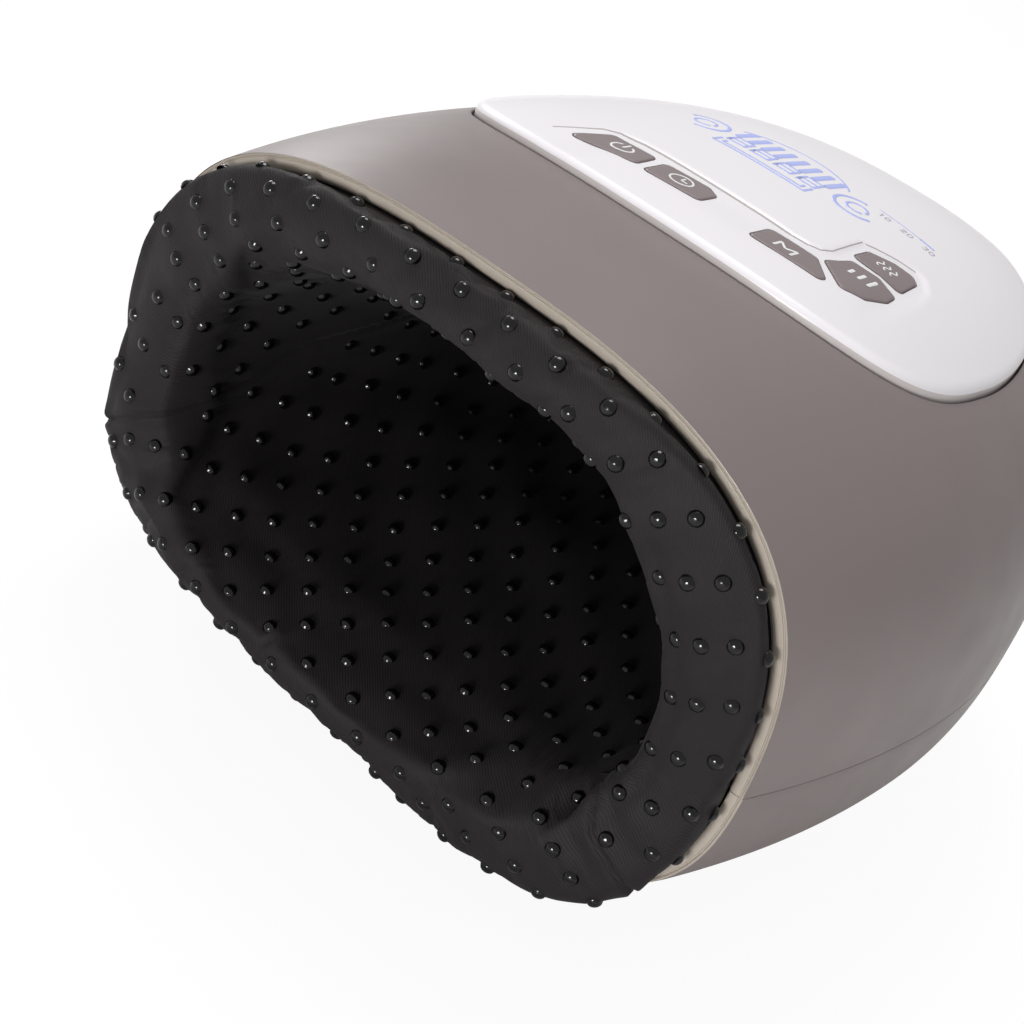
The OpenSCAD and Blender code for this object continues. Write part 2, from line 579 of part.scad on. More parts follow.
// Layers between the lining and the chamber: shares of the pocket's depth and angles they cover
palm_span = [0.12, 0.52, 35, 145];
finger_span = [0.56, 0.86, 40, 140];
lower_span = [0.14, 0.8, 220, 320];
film_span = [0.16, 0.8, 50, 130];
plate_span = [0.2, 0.72, 235, 305];
module layer(span, inner, outer, na)
    skin("pocket", span[0], span[1], span[2], span[3], inner, outer, 8, na);
film_in = 2 * layer_gap;
cell_in = film_in + film_t + layer_gap;
cell_out = chamber_gap - cell_gap;
nipple_root = 1.5;
module cell(span, inner, nipple, up) color([0.35, 0.36, 0.38]) {
    layer(span, inner, cell_out, 12);
    z = pocket_z(nipple[0], nipple[1], cell_out, up);
    far = pocket_z(nipple[0], nipple[1], chamber_gap + chamber_t, up);
    if (up) post(nipple[0], nipple[1], nipple_r, z - nipple_root, far + nipple_h);
    else post(nipple[0], nipple[1], nipple_r, far - nipple_h, z + nipple_root);
}
plate_in = layer_gap;
plate_t = 3;
plate_skin = 1.2;
knob_r = 2;
knob_in = 0.6;
knob_step = 16;
knob_x = 24;
knob_y = [deep(0.287), deep(0.61)];
module palm_air_cell() cell(palm_span, cell_in, nipples[0], true);
module finger_air_cell() cell(finger_span, cell_in, nipples[1], true);
module lower_air_cell() cell(lower_span, plate_in + plate_t + layer_gap, lower_nipple, false);
module heating_film() color([0.75, 0.45, 0.2]) layer(film_span, film_in, film_in + film_t, 10);
module kneading_plate() color([0.8, 0.8, 0.78]) {
    layer(plate_span, plate_in + plate_t - plate_skin, plate_in + plate_t, 10);
    for (y = [knob_y[0] : knob_step : knob_y[1]], x = [-knob_x : knob_step : knob_x]) post(x, y, knob_r,
        pocket_z(x, y, plate_in + plate_t - plate_skin / 2, false),
        pocket_z(x, y, plate_in + knob_in, false));
}

// The battery on its tray under the chamber
tray_t = 1.5;
tray_lip = 2;
tray_rim = 2.5;
tray_y = 66;
tray_z = belly_z(battery_w / 2 + tray_rim, tray_y + battery_l + tray_rim, wall) + 0.8;
tray_posts = [for (x = [-18, 18], y = [tray_y + 6, tray_y + battery_l - 6]) [x, y]];
module battery_tray() color(dark_plastic) difference() {
    brick(-battery_w / 2 - tray_rim, tray_y - tray_rim, tray_z,
        [battery_w + 2 * tray_rim, battery_l + 2 * tray_rim, tray_t + tray_lip]);
    brick(-battery_w / 2 - layer_gap, tray_y - layer_gap, tray_z + tray_t,
        [battery_w + 2 * layer_gap, battery_l + 2 * layer_gap, 10]);
}
module battery_pack() color([0.15, 0.3, 0.6])
    brick(-battery_w / 2, tray_y, tray_z + tray_t, [battery_w, battery_l, battery_t]);
strap_t = 0.8;
strap_w = 12;
strap_y = tray_y + battery_l / 2 - strap_w / 2;
module battery_strap() color([0.12, 0.12, 0.12]) difference() {
    half = battery_w / 2 + tray_rim;
    brick(-half - strap_t, strap_y, tray_z, [2 * (half + strap_t), strap_w, tray_t + battery_t + strap_t]);
    brick(-half, strap_y - 1, tray_z - 1, [2 * half, strap_w + 2, 1 + tray_t + battery_t]);
}

// The bay behind the pocket: pump, valve, manifold and main board on one frame
sleeve_t = 2.5;
pump_y = bay_y + bay_wall + motor_r + sleeve_t + 2;
sleeve_r = motor_r + sleeve_t;
pump_x = -28;
shelf_z = seam_z + sleeve_r + 3;
shelf_t = 2;
shelf_x = 34;
shelf_reach = 10;
deck_room = 15;
main_z = shelf_z + shelf_t + deck_room;
frame_posts = [[-29, pump_y + 4], [29, pump_y + 4], [-29, bay_y + 3], [29, bay_y + 3]];
clamp_x = pump_x + 4;
clamp_l = 14;
foot_flange = 3;
foot_half = 4;
module lying(x, r, len) translate([x, mouth_y + pump_y, seam_z]) rotate([0, 90, 0])
    cylinder(r = r, h = len, $fn = fine);
module bay_frame() color(dark_plastic) difference() {
    union() {
        brick(-shelf_x, bay_y, seam_z - bay_foot,
            [2 * shelf_x, bay_wall, bay_foot + shelf_z - seam_z + shelf_t]);
        brick(-shelf_x, bay_y, shelf_z, [2 * shelf_x, pump_y + shelf_reach - bay_y, shelf_t]);
        for (p = bay_posts) brick(p[0] - foot_half, bay_y, seam_z - bay_foot,
            [2 * foot_half, bay_post_y + head_r + 1 - bay_y, foot_flange]);
        for (p = frame_posts) post(p[0], p[1], leg_r, shelf_z + shelf_t / 2, main_z);
        lying(clamp_x, sleeve_r + 2, clamp_l);
        brick(clamp_x, bay_y, seam_z - 6, [clamp_l, pump_y - bay_y, shelf_z - seam_z + 6]);
    }
    lying(clamp_x - 1, sleeve_r, clamp_l + 2);
    for (p = bay_posts) post(p[0], p[1], screw_r + screw_gap, seam_z - bay_foot - 1, seam_z);
}
module bay_screws() color([0.7, 0.7, 0.72]) for (p = bay_posts) {
    post(p[0], p[1], screw_r, seam_z - bay_foot - bay_thread, seam_z - bay_foot + foot_flange + 0.5);
    post(p[0], p[1], head_r, seam_z - bay_foot + foot_flange, seam_z - bay_foot + foot_flange + head_h);
}
module pump_sleeve() color([0.12, 0.12, 0.12]) difference() {
    lying(pump_x + 2, sleeve_r, 18);
    lying(pump_x + 1, motor_r, 20);
}
hub_r = 4;
hub_off = 1.5;
module motor_can() color([0.72, 0.72, 0.74]) difference() {
    lying(pump_x, motor_r, motor_l);
    lying(pump_x + 6, shaft_r + run_gap, motor_l);
}
module pump_shaft() color([0.8, 0.8, 0.82]) {
    lying(pump_x + 6 + run_gap, shaft_r, motor_l);
    translate([0, hub_off, 0]) lying(pump_x + motor_l + 2.5, hub_r, 3);
}
module pump_head() color([0.25, 0.25, 0.27]) {
    difference() {
        lying(pump_x + motor_l, pump_r, pump_l);
        lying(pump_x + motor_l - 1, pump_r - 4, pump_l - 8);
    }
    lying(pump_x + motor_l + pump_l - 0.5, nipple_r, nipple_h + 0.5);
}

// The valve with its sprung plunger, and the manifold that feeds the air cells
valve_size = [14, 12, deck_room - 1.5];
valve_x = -28;
valve_y = bay_y + 6;
deck_z = shelf_z + shelf_t;
port_z = deck_z + 5.5;
port_y = valve_y + valve_size[1] / 2;
port_l = 3;
plunger_l = 5;
spring_slack = 2.8;
spring_l = spring_slack + plunger_travel;
seat_z = deck_z + 2;
module port(x, len) translate([x, mouth_y + port_y, port_z]) rotate([0, 90, 0])
    cylinder(r = nipple_r, h = len, $fn = fine);
module in_valve(r, z, len) post(valve_x + valve_size[0] / 2, port_y, r, z, z + len);
module valve_body() color([0.2, 0.2, 0.22]) {
    difference() {
        brick(valve_x, valve_y, deck_z, valve_size);
        in_valve(plunger_r + run_gap, seat_z, plunger_l + spring_l);
    }
    port(valve_x + valve_size[0] - 0.5, port_l + 0.5);
}
module valve_plunger() color([0.75, 0.75, 0.77]) in_valve(plunger_r, seat_z, plunger_l);
module valve_spring() color([0.8, 0.8, 0.82]) difference() {
    in_valve(plunger_r - 0.2, seat_z + plunger_l, spring_l);
    in_valve(plunger_r - 0.8, seat_z + plunger_l - 1, spring_l + 2);
}
manifold_x = 2;
manifold_size = [20, 12, 11];
front_ports = [manifold_x + 4, manifold_x + 10, manifold_x + 16];
module manifold() color([0.85, 0.85, 0.86]) {
    brick(manifold_x, valve_y, deck_z, manifold_size);
    for (x = front_ports) translate([x, mouth_y + valve_y - port_l, port_z]) rotate([-90, 0, 0])
        cylinder(r = nipple_r, h = port_l + 0.5, $fn = fine);
    port(manifold_x - port_l, port_l + 0.5);
    port(manifold_x + manifold_size[0] - 0.5, port_l + 0.5);
}

// Hoses and leads: each starts and ends on a port, with hand-chosen points between. A point's height
// is counted from the parting line, and its place from the bay or as a share of the way to the bay
function from_mouth(points) = [for (p = points) [p[0], mouth_y + p[1], p[2]]];
function in_bay(points) = [for (p = points) [p[0], bay_y + p[1], seam_z + p[2]]];
function to_bay(y, points) = [for (p = points) [p[0], mix(y, bay_y, p[1]), seam_z + p[2]]];
function nipple_end(p, up) =
    [p[0], p[1], pocket_z(p[0], p[1], chamber_gap + chamber_t, up) + (up ? nipple_h : -nipple_h)];
function front_port(k) = [front_ports[k], valve_y - port_l, port_z];
module air_hose(points) color([0.75, 0.76, 0.78]) hose(from_mouth(points), hose_r);
pump_out = [pump_x + motor_l + pump_l + nipple_h, pump_y, seam_z];
manifold_in = [manifold_x + manifold_size[0] + port_l, port_y, port_z];
pump_route = in_bay([[35, 18, 1.5], [37.8, 17, 6.5], [38.2, 15.5, 11.5], [37.8, 14, 17.5],
    [35.5, 12.5, 22.5]]);
module pump_hose() air_hose(concat([pump_out, pump_out + [3, 0, 0]], pump_route,
    [manifold_in + [5, 0, 0], manifold_in]));
module valve_hose() air_hose([[valve_x + valve_size[0] + port_l, port_y, port_z],
    [manifold_x - port_l, port_y, port_z]]);
// Height of a hose between the first nipple's end and the underside of the control board
function under_board(share) =
    mix(nipple_end(nipples[0], true)[2] + hose_r, board_z - hose_r, share) - seam_z;
palm_route = to_bay(nipples[0][1], [[14, 0.025, under_board(0.3)], [14, 0.07, under_board(0.55)],
    [14, 0.181, under_board(0.55)], [14, 0.332, under_board(0.42)], [14, 0.482, under_board(0.18)],
    [13.5, 0.633, 46.5], [13, 0.784, 40.5], [12.5, 0.874, 33.5], [12, 0.935, 27.5]]);
module palm_hose() air_hose(concat(
    [nipple_end(nipples[0], true), nipple_end(nipples[0], true) + [0, 0, 2]],
    palm_route, [front_port(1) - [0, 4, 0], front_port(1)]));
finger_route = to_bay(nipples[1][1], [[-14, 0.051, 48], [-13, 0.141, 49.5], [-10, 0.303, 48.5],
    [-5, 0.505, 43.5], [1, 0.687, 36.5], [5, 0.848, 28.5]]);
module finger_hose() air_hose(concat(
    [nipple_end(nipples[1], true), nipple_end(nipples[1], true) + [0, 0, 2]],
    finger_route, [front_port(0) - [0, 4, 0], front_port(0)]));
lower_route = to_bay(lower_nipple[1], [[38.5, 0.073, -33], [39.5, 0.195, -33], [42, 0.358, -30.5],
    [45, 0.537, -25.5], [47, 0.699, -18.5], [47, 0.829, -9.5], [45, 0.911, 0.5], [40, 0.927, 10.5],
    [32, 0.911, 18.5], [23, 0.911, 23.5]]);
module lower_hose() air_hose(concat(
    [nipple_end(lower_nipple, false), nipple_end(lower_nipple, false) - [0, 0, 2]],
    lower_route, [front_port(2) - [0, 4, 0], front_port(2)]));

// The main board over the valve, with its parts, and the charging socket at the tail
main_x = 32;
main_y = [bay_y + 3, bay_y + 26];
module main_board() color(board_green) difference() {
    brick(-main_x, main_y[0], main_z, [2 * main_x, main_y[1] - main_y[0], board_t]);
    for (p = frame_posts) post(p[0], p[1], 0.8, main_z - 1, main_z + board_t + 1);
}
on_main = main_z + board_t;
side_plugs = [main_y[0] + 7, main_y[0] + 15];
plug_h = 4.5;
plug_d = 5;
chip_size = [12, 12, 1.6];
capacitors = [12, 19];
capacitor_r = 3;
capacitor_h = 5.5;
module board_parts() color([0.12, 0.12, 0.13]) {
    brick(-chip_size[0] / 2, side_plugs[0] + 1, on_main, chip_size);
    for (x = capacitors) post(x, side_plugs[1], capacitor_r, on_main, on_main + capacitor_h);
    brick(-chip_size[0] / 2, main_y[0] + 1, on_main, [chip_size[0], plug_d, plug_h]);
    brick(-22, main_y[0] + 1, on_main, [6, plug_d, plug_h]);
    for (y = side_plugs) brick(-main_x + 1, y, on_main, [plug_d, 6, plug_h]);
}
module charge_socket() color([0.7, 0.7, 0.72]) {
    difference() {
        case_slot(-0.05, socket_end - socket_l, socket_l);
        case_slot(-slot_t, socket_end - socket_l + 1, socket_l);
    }
    brick(-2.6, socket_end - socket_l + 0.5, seam_z + slot_up - 0.35, [5.2, socket_l - 1.5, 0.7]);
    brick(-socket_half, socket_back, socket_board_z - board_t,
        [2 * socket_half, socket_end - socket_front - socket_back, board_t]);
}

module lead_wire(points, r, tint) color(tint) hose(from_mouth(points), r);
function side_plug(k) = [-main_x + 1, side_plugs[k] + 3, on_main + plug_h / 2];
motor_end = [pump_x, pump_y + 5, seam_z];
lead_out = 2;
plug_lead = 2.5;
motor_route = in_bay([[-32, 23.5, 1.5], [-36.5, 22.5, 7.5], [-37, 21.5, 16.5], [-37, 21, 26.5],
    [-36, 20.8, 34.5]]);
module motor_lead() lead_wire(concat([motor_end, motor_end - [lead_out, 0, 0]], motor_route,
    [side_plug(1) - [plug_lead, 0, 0], side_plug(1)]), 1.1, [0.7, 0.1, 0.1]);
battery_wire_r = 1.2;
battery_end = [-14, tray_y + battery_l, tray_z + tray_t + tray_lip + battery_wire_r + layer_gap];
battery_route = to_bay(battery_end[1], [[-17, 0.352, -32.5], [-24, 0.615, -28.5], [-33, 0.813, -22.5],
    [-40, 0.923, -13.5], [-43, 1.011, -1.5], [-43, 1.121, 11.5], [-41, 1.231, 24.5], [-39, 1.279, 34.5]]);
module battery_lead() lead_wire(concat([battery_end, battery_end + [0, lead_out, 0]], battery_route,
    [side_plug(0) - [plug_lead, 0, 0], side_plug(0)]), battery_wire_r, [0.1, 0.1, 0.1]);
key_lead_route = to_bay(board_y[1], [[-3, 0.138, 54.5], [-4, 0.368, 52.5], [-5, 0.598, 49],
    [-3, 0.805, 44.5]]);
key_lead_end = [0, board_y[1] - 1, board_z - plug_size[2] / 2];
module key_board_lead() lead_wire(concat([key_lead_end, key_lead_end + [0, lead_out, 0]], key_lead_route,
    [[0, main_y[0] - 3, on_main + plug_h / 2], [0, main_y[0] + 1, on_main + plug_h / 2]]),
    1.4, [0.85, 0.85, 0.86]);
heater_root = [heater_pass[0], heater_pass[1],
    pocket_z(heater_pass[0], heater_pass[1], film_in + film_t, true)];
heater_route = to_bay(heater_pass[1], [[-20, 0.006, 35.5], [-20, 0.013, 40.5], [-20.5, 0.051, 45],
    [-22, 0.14, 47], [-25, 0.28, 47], [-28, 0.471, 45.5], [-28, 0.662, 43], [-26, 0.828, 40.5]]);
module heater_lead() lead_wire(concat([heater_root], heater_route,
    [[-19, main_y[0] - 3, on_main + plug_h / 2], [-19, main_y[0] + 1, on_main + plug_h / 2]]),
    0.9, [0.75, 0.6, 0.2]);

module rubber_feet() color([0.1, 0.1, 0.1]) for (p = feet) {
    post(p[0], p[1], foot_r, 0, foot_h);
    post(p[0], p[1], peg_r, foot_h - 0.5, foot_h + peg_h);
}
module case_screws() color([0.7, 0.7, 0.72]) for (i = [0 : 3]) let(p = case_posts[i]) {
    post(p[0], p[1], screw_r, seam_z - head_drop[i] - 0.5, seam_z + thread_l - 2);
    post(p[0], p[1], head_r, seam_z - head_drop[i] - head_h, seam_z - head_drop[i]);
}

upper_shell();
lower_shell();
top_panel();
power_key();
timer_key();
mode_key();
intensity_key();
heat_key();
control_board();
key_plug();
tact_switches();
light_guide();
display_leds();
board_screws();
buzzer();
mouth_roll();
liner_upper();
liner_lower();
chamber_upper();
chamber_lower();
palm_air_cell();
finger_air_cell();
lower_air_cell();
heating_film();
kneading_plate();
battery_tray();
battery_pack();
battery_strap();
bay_frame();
bay_screws();
pump_sleeve();
motor_can();
pump_shaft();
pump_head();
valve_body();
valve_plunger();
valve_spring();
manifold();
pump_hose();
valve_hose();
palm_hose();
finger_hose();
lower_hose();
main_board();
board_parts();
charge_socket();
motor_lead();
battery_lead();
key_board_lead();
heater_lead();
rubber_feet();
case_screws();
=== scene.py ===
"""Cordless air-compression hand massager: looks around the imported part.

Lengths are in millimetres until a mesh is made.
"""

import math

import bmesh
import bpy
import numpy as np
from mathutils import Matrix, Vector
from numpy.linalg import norm


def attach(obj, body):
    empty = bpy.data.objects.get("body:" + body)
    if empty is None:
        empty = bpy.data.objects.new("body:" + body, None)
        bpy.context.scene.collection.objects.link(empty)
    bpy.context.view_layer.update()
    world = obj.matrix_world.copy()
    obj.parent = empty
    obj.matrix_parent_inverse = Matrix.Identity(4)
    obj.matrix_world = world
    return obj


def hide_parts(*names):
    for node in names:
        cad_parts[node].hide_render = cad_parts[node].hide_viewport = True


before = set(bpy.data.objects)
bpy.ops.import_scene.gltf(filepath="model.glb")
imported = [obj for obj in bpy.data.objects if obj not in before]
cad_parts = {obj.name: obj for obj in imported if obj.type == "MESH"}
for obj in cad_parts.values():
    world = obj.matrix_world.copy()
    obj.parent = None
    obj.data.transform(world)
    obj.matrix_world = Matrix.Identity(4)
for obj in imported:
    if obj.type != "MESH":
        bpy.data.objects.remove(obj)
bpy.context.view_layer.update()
MM = 0.001
CASING = "casing"

# ---- sizes of the part
HALF_W, MOUTH_W, BODY_L = 88.0, 79.5, 217.0
DOME_H, MOUTH_H, BELLY_D, MOUTH_D = 69.0, 64.0, 45.5, 43.0
VISOR_LEAD, LIP_LEAD, WALL, GROUND_GAP = 16.0, 2.0, 3.0, 3.0
WIDEST_AT, HIGHEST_AT, PLAN_EXP, SIDE_EXP = 0.32, 0.45, 1.9, (2.4, 2.6)
MOUTH_EXP, TAIL_EXP, BELLY_EXP = 2.9, 2.65, 2.75
PANEL_W, PANEL_Y, PANEL_FRONT, PANEL_BACK = 60.5, 80.0, 45.5, 92.0
PANEL_EXP = (3.0, 1.8)
PANEL_T, PANEL_RISE, PANEL_CROWN, PANEL_SKIN, PANEL_GAP = 2.2, 2.3, 2.0, 2.2, 0.4
LEDGE_T, LEDGE_W = 2.0, 4.0
KEY_GAP, KEY_CORNER = 0.3, 1.4
ROLL_W, ROLL_BULGE, ROLL_BACK = 15.0, 11.0, 6.0
POCKET_L, HAND_W, HAND_UP, HAND_DOWN = 150.0, 58.0, 30.0, 17.0
POCKET_EXP, POCKET_START = 2.4, 3.6
LINER_T, LAYER_GAP = 1.2, 0.3
SEAM_Z = BELLY_D + GROUND_GAP
MOUTH_Y = -97.5288
INSIDE = WALL + LAYER_GAP + ROLL_W


def spow(v, e):
    return np.sign(v) * np.abs(v) ** e


def mix(a, b, t):
    return a + (b - a) * t


def ease(t):
    t = np.clip(t, 0, 1)
    return t * t * (3 - 2 * t)


def swell(s, front, full, peak, p, q):
    """Size at a place s along the body: front at the mouth, full at peak, nothing at the tail."""
    before = full - (full - front) * ((peak - s) / peak) ** 2
    after = full * np.maximum(0, 1 - np.clip((s - peak) / (1 - peak), 0, 1) ** p) ** (1 / q)
    return np.where(s < peak, before, after)


def body_w(s, inset=0.0):
    return swell(s, MOUTH_W - inset, HALF_W - inset, WIDEST_AT, PLAN_EXP, PLAN_EXP)


def body_h(s, inset=0.0):
    return swell(s, MOUTH_H - inset, DOME_H - inset, HIGHEST_AT, *SIDE_EXP)


def body_d(s, inset=0.0):
    return swell(s, MOUTH_D - inset, BELLY_D - inset, WIDEST_AT, PLAN_EXP, PLAN_EXP)


def lead(z):
    """How far the mouth's edge lies behind its plane at a height over the seam."""
    visor = -VISOR_LEAD * (np.maximum(z, 0) / DOME_H) ** 1.4
    return np.where(z > 0, visor, LIP_LEAD * z / BELLY_D)


def stack(x, y, z):
    return np.stack(np.broadcast_arrays(x, y, z), -1)


def plan_pt(x, y, z):
    """Points over the plan, whose y is counted from the mouth plane."""
    return stack(x, MOUTH_Y + y, z)


def unit(v):
    return v / np.maximum(norm(v, axis=-1, keepdims=True), 1e-9)


def run(p):
    """Length of a line up to each of its points."""
    return np.r_[0, np.cumsum(norm(np.diff(p, axis=0), axis=1))]


def full_turn(steps):
    """Angles at even steps of a full turn, the last one short of it."""
    return np.linspace(0, 2 * math.pi, steps, endpoint=False)


def body_pt(s, a, inset=0.0):
    """Point of the casing at a place s along it and an angle a round the section."""
    s, a = np.asarray(s, float), np.asarray(a, float)
    up = np.sin(a) >= 0
    e = 2 / np.where(up, mix(MOUTH_EXP, TAIL_EXP, s), BELLY_EXP)
    z = np.where(up, body_h(s, inset), body_d(s, inset)) * spow(np.sin(a), e)
    y = MOUTH_Y + (BODY_L - inset) * s + (1 - s) * lead(z)
    return stack(body_w(s, inset) * spow(np.cos(a), e), y, SEAM_Z + z)


def plan_sa(x, y):
    """Place and angle on the dome over a point of the plan, y counted from the mouth plane."""
    x, y = np.asarray(x, float), np.asarray(y, float)
    z = np.full(np.broadcast(x, y).shape, DOME_H)
    for _ in range(9):
        s = np.clip((y - lead(z)) / (BODY_L - lead(z)), 0, 0.9999)
        n = mix(MOUTH_EXP, TAIL_EXP, s)
        side = np.minimum(1, np.abs(x) / body_w(s))
        z = body_h(s) * np.maximum(0, 1 - side**n) ** (1 / n)
    c = np.arccos(np.clip(side ** (n / 2), 0, 1))
    return s, np.where(x < 0, math.pi - c, c)


def dome_z(x, y):
    return body_pt(*plan_sa(x, y))[..., 2]


def panel_xy(t, r=1.0, grow=0.0):
    """Outline of the panel in the plan at an angle t, scaled by r about its widest place."""
    e = np.where(np.sin(t) < 0, 2 / PANEL_EXP[0], 2 / PANEL_EXP[1])
    half = np.where(np.sin(t) < 0, PANEL_FRONT, PANEL_BACK) + grow
    return r * (PANEL_W + grow) * spow(np.cos(t), e), PANEL_Y + r * half * spow(np.sin(t), e)


def panel_r(x, y):
    front = y < PANEL_Y
    e = np.where(front, *PANEL_EXP)
    half = np.where(front, PANEL_FRONT, PANEL_BACK)
    return ((np.abs(x) / PANEL_W) ** e + (np.abs(y - PANEL_Y) / half) ** e) ** (1 / e)


def pocket_size(v, front, full):
    inner = full * np.maximum(0, 1 - np.maximum(0, 2 * v - 1) ** 3) ** (1 / POCKET_EXP)
    return np.where(v < 0.5, mix(front, full, ease(2 * v)), inner)


def pocket_pt(v, a, off):
    """Point of the hand pocket at a share v of its depth and an angle a, moved out by off."""
    up = np.sin(a) >= 0
    high = pocket_size(v, MOUTH_H - INSIDE + off, HAND_UP + off)
    low = pocket_size(v, MOUTH_D - INSIDE + off, HAND_DOWN + off)
    z = np.where(up, high, low) * spow(np.sin(a), 2 / POCKET_EXP)
    x = pocket_size(v, MOUTH_W - INSIDE + off, HAND_W + off) * spow(np.cos(a), 2 / POCKET_EXP)
    return plan_pt(x, mix(lead(z) + POCKET_START, POCKET_L + off, v), SEAM_Z + z)


def roll_pt(a, t, bulge, back, fill):
    """Point of the padded roll: a runs round the mouth, t round the roll's own section."""
    outer, inner = body_pt(0.0, a, WALL + LAYER_GAP), pocket_pt(0.0, a, -LINER_T)
    mid = (outer + inner) / 2
    reach = (outer - inner) / 2 * (np.cos(t) * fill)[..., None]
    y = MOUTH_Y + lead(mid[..., 2] - SEAM_Z) - np.where(np.sin(t) > 0, bulge, back) * np.sin(t)
    return stack(mid[..., 0] + reach[..., 0], y, mid[..., 2] + reach[..., 2])


# ---- mesh tools
def grid_faces(rows, cols, wrap_rows=False, wrap_cols=False):
    i, j = np.meshgrid(
        np.arange(rows if wrap_rows else rows - 1),
        np.arange(cols if wrap_cols else cols - 1),
        indexing="ij",
    )
    k, m = (i + 1) % rows, (j + 1) % cols
    return np.stack([i * cols + j, i * cols + m, k * cols + m, k * cols + j], -1).reshape(-1, 4)


class Shape:
    """Collects grids, fans and rings of points, and makes one welded mesh of them."""

    def __init__(self):
        self.points, self.faces, self.slots, self.uvs, self.count = [], [], [], [], 0

    def grid(self, points, wrap_rows=False, wrap_cols=False, slot=0, uv=None):
        rows, cols = points.shape[:2]
        faces = grid_faces(rows, cols, wrap_rows, wrap_cols) + self.count
        self._take(points.reshape(-1, 3), faces.tolist(), slot, uv)

    def rings(self, rows, slot=0):
        self.grid(np.stack(rows), wrap_cols=True, slot=slot)

    def fan(self, ring, tip, slot=0):
        n = len(ring)
        faces = [[self.count + j, self.count + (j + 1) % n, self.count + n] for j in range(n)]
        self._take(np.vstack([ring, [tip]]), faces, slot, None)

    def plate(self, ring):
        self._take(ring, [[self.count + j for j in range(len(ring))]], 0, None)

    def _take(self, points, faces, slot, uv):
        self.points.append(points)
        self.faces += faces
        self.slots += [slot] * len(faces)
        self.uvs.append(np.zeros((len(points), 2)) if uv is None else uv.reshape(-1, 2))
        self.count += len(points)

    def build(self, name, finishes, weld=1e-6, sharp=35.0, smooth=True):
        mesh = bpy.data.meshes.new(name)
        mesh.from_pydata((np.vstack(self.points) * MM).tolist(), [], self.faces)
        uv = np.vstack(self.uvs)
        layer = mesh.uv_layers.new(name="cloth")
        index = np.zeros(len(mesh.loops), np.int32)
        mesh.loops.foreach_get("vertex_index", index)
        layer.data.foreach_set("uv", uv[index].astype(np.float32).ravel())
        mesh.polygons.foreach_set("material_index", self.slots)
        work = bmesh.new()
        work.from_mesh(mesh)
        if weld:
            bmesh.ops.remove_doubles(work, verts=work.verts, dist=weld)
            bmesh.ops.recalc_face_normals(work, faces=work.faces)
        work.to_mesh(mesh)
        work.free()
        for finish in finishes:
            mesh.materials.append(finish)
        mesh.polygons.foreach_set("use_smooth", [smooth] * len(mesh.polygons))
        if smooth and sharp < 180:
            mesh.set_sharp_from_angle(angle=math.radians(sharp))
        return added(name, mesh)


def added(name, data):
    """A new object of the scene."""
    obj = bpy.data.objects.new(name, data)
    bpy.context.scene.collection.objects.link(obj)
    return obj


def place(obj, body, nodes=(), slot=None):
    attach(obj, body)
    if nodes:
        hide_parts(*nodes)


def bake(obj):
    """Replaces the object's mesh by the one that its modifiers make."""
    graph = bpy.context.evaluated_depsgraph_get()
    made = bpy.data.meshes.new_from_object(obj.evaluated_get(graph))
    obj.modifiers.clear()
    obj.data = made


def cut(obj, cutters, sharp=35.0):
    """Cuts the cutters out of the object and removes them."""
    for cutter in cutters:
        mod = obj.modifiers.new("cut", "BOOLEAN")
        mod.operation, mod.solver, mod.object = "DIFFERENCE", "MANIFOLD", cutter
    bake(obj)
    for cutter in cutters:
        bpy.data.objects.remove(cutter)
    obj.data.set_sharp_from_angle(angle=math.radians(sharp))


def tube(rows, name):
    """A cutter between two rings of points, with flat ends."""
    shape = Shape()
    shape.rings(rows)
    shape.plate(rows[0])
    shape.plate(rows[1])
    return shape.build(name, [], smooth=False)


def round_outline(corners, radius, grow=0.0, steps=7):
    """A polygon of the plan with its corners rounded, grown outwards."""
    p = np.asarray(corners, float)
    if np.sum(p[:, 0] * np.roll(p[:, 1], -1) - p[:, 1] * np.roll(p[:, 0], -1)) < 0:
        p = p[::-1]
    edge = unit(np.roll(p, -1, 0) - p)
    normal = np.column_stack([edge[:, 1], -edge[:, 0]])
    out = []
    for k in range(len(p)):
        n0, n1 = normal[k - 1], normal[k]
        inner = p[k] - radius * (n0 + n1) / (1 + n0 @ n1)
        turn = math.atan2(n0[0] * n1[1] - n0[1] * n1[0], n0 @ n1)
        first = math.atan2(n0[1], n0[0])
        for a in np.linspace(first, first + turn, steps if abs(turn) > 0.1 else 2):
            out.append(inner + (radius + grow) * np.array([math.cos(a), math.sin(a)]))
    return np.array(out)


# ---- finishes
NOISE_SPAN = (0.3, 0.7)  # what a noise takes up of its 0 to 1


def feed(tree, socket, value):
    """Gives an input a value, or a link from another node's output."""
    if isinstance(value, bpy.types.NodeSocket):
        tree.links.new(value, socket)
    else:
        socket.default_value = value


def add_node(tree, kind, settings=(), **inputs):
    """A new node; an input goes by its name, with _ for a space, or by i and its number."""
    made = tree.nodes.new("ShaderNode" + kind)
    for key, value in dict(settings).items():
        setattr(made, key, value)
    for key, value in inputs.items():
        socket = int(key[1:]) if key[1:].isdigit() else key.replace("_", " ")
        feed(tree, made.inputs[socket], value)
    return made


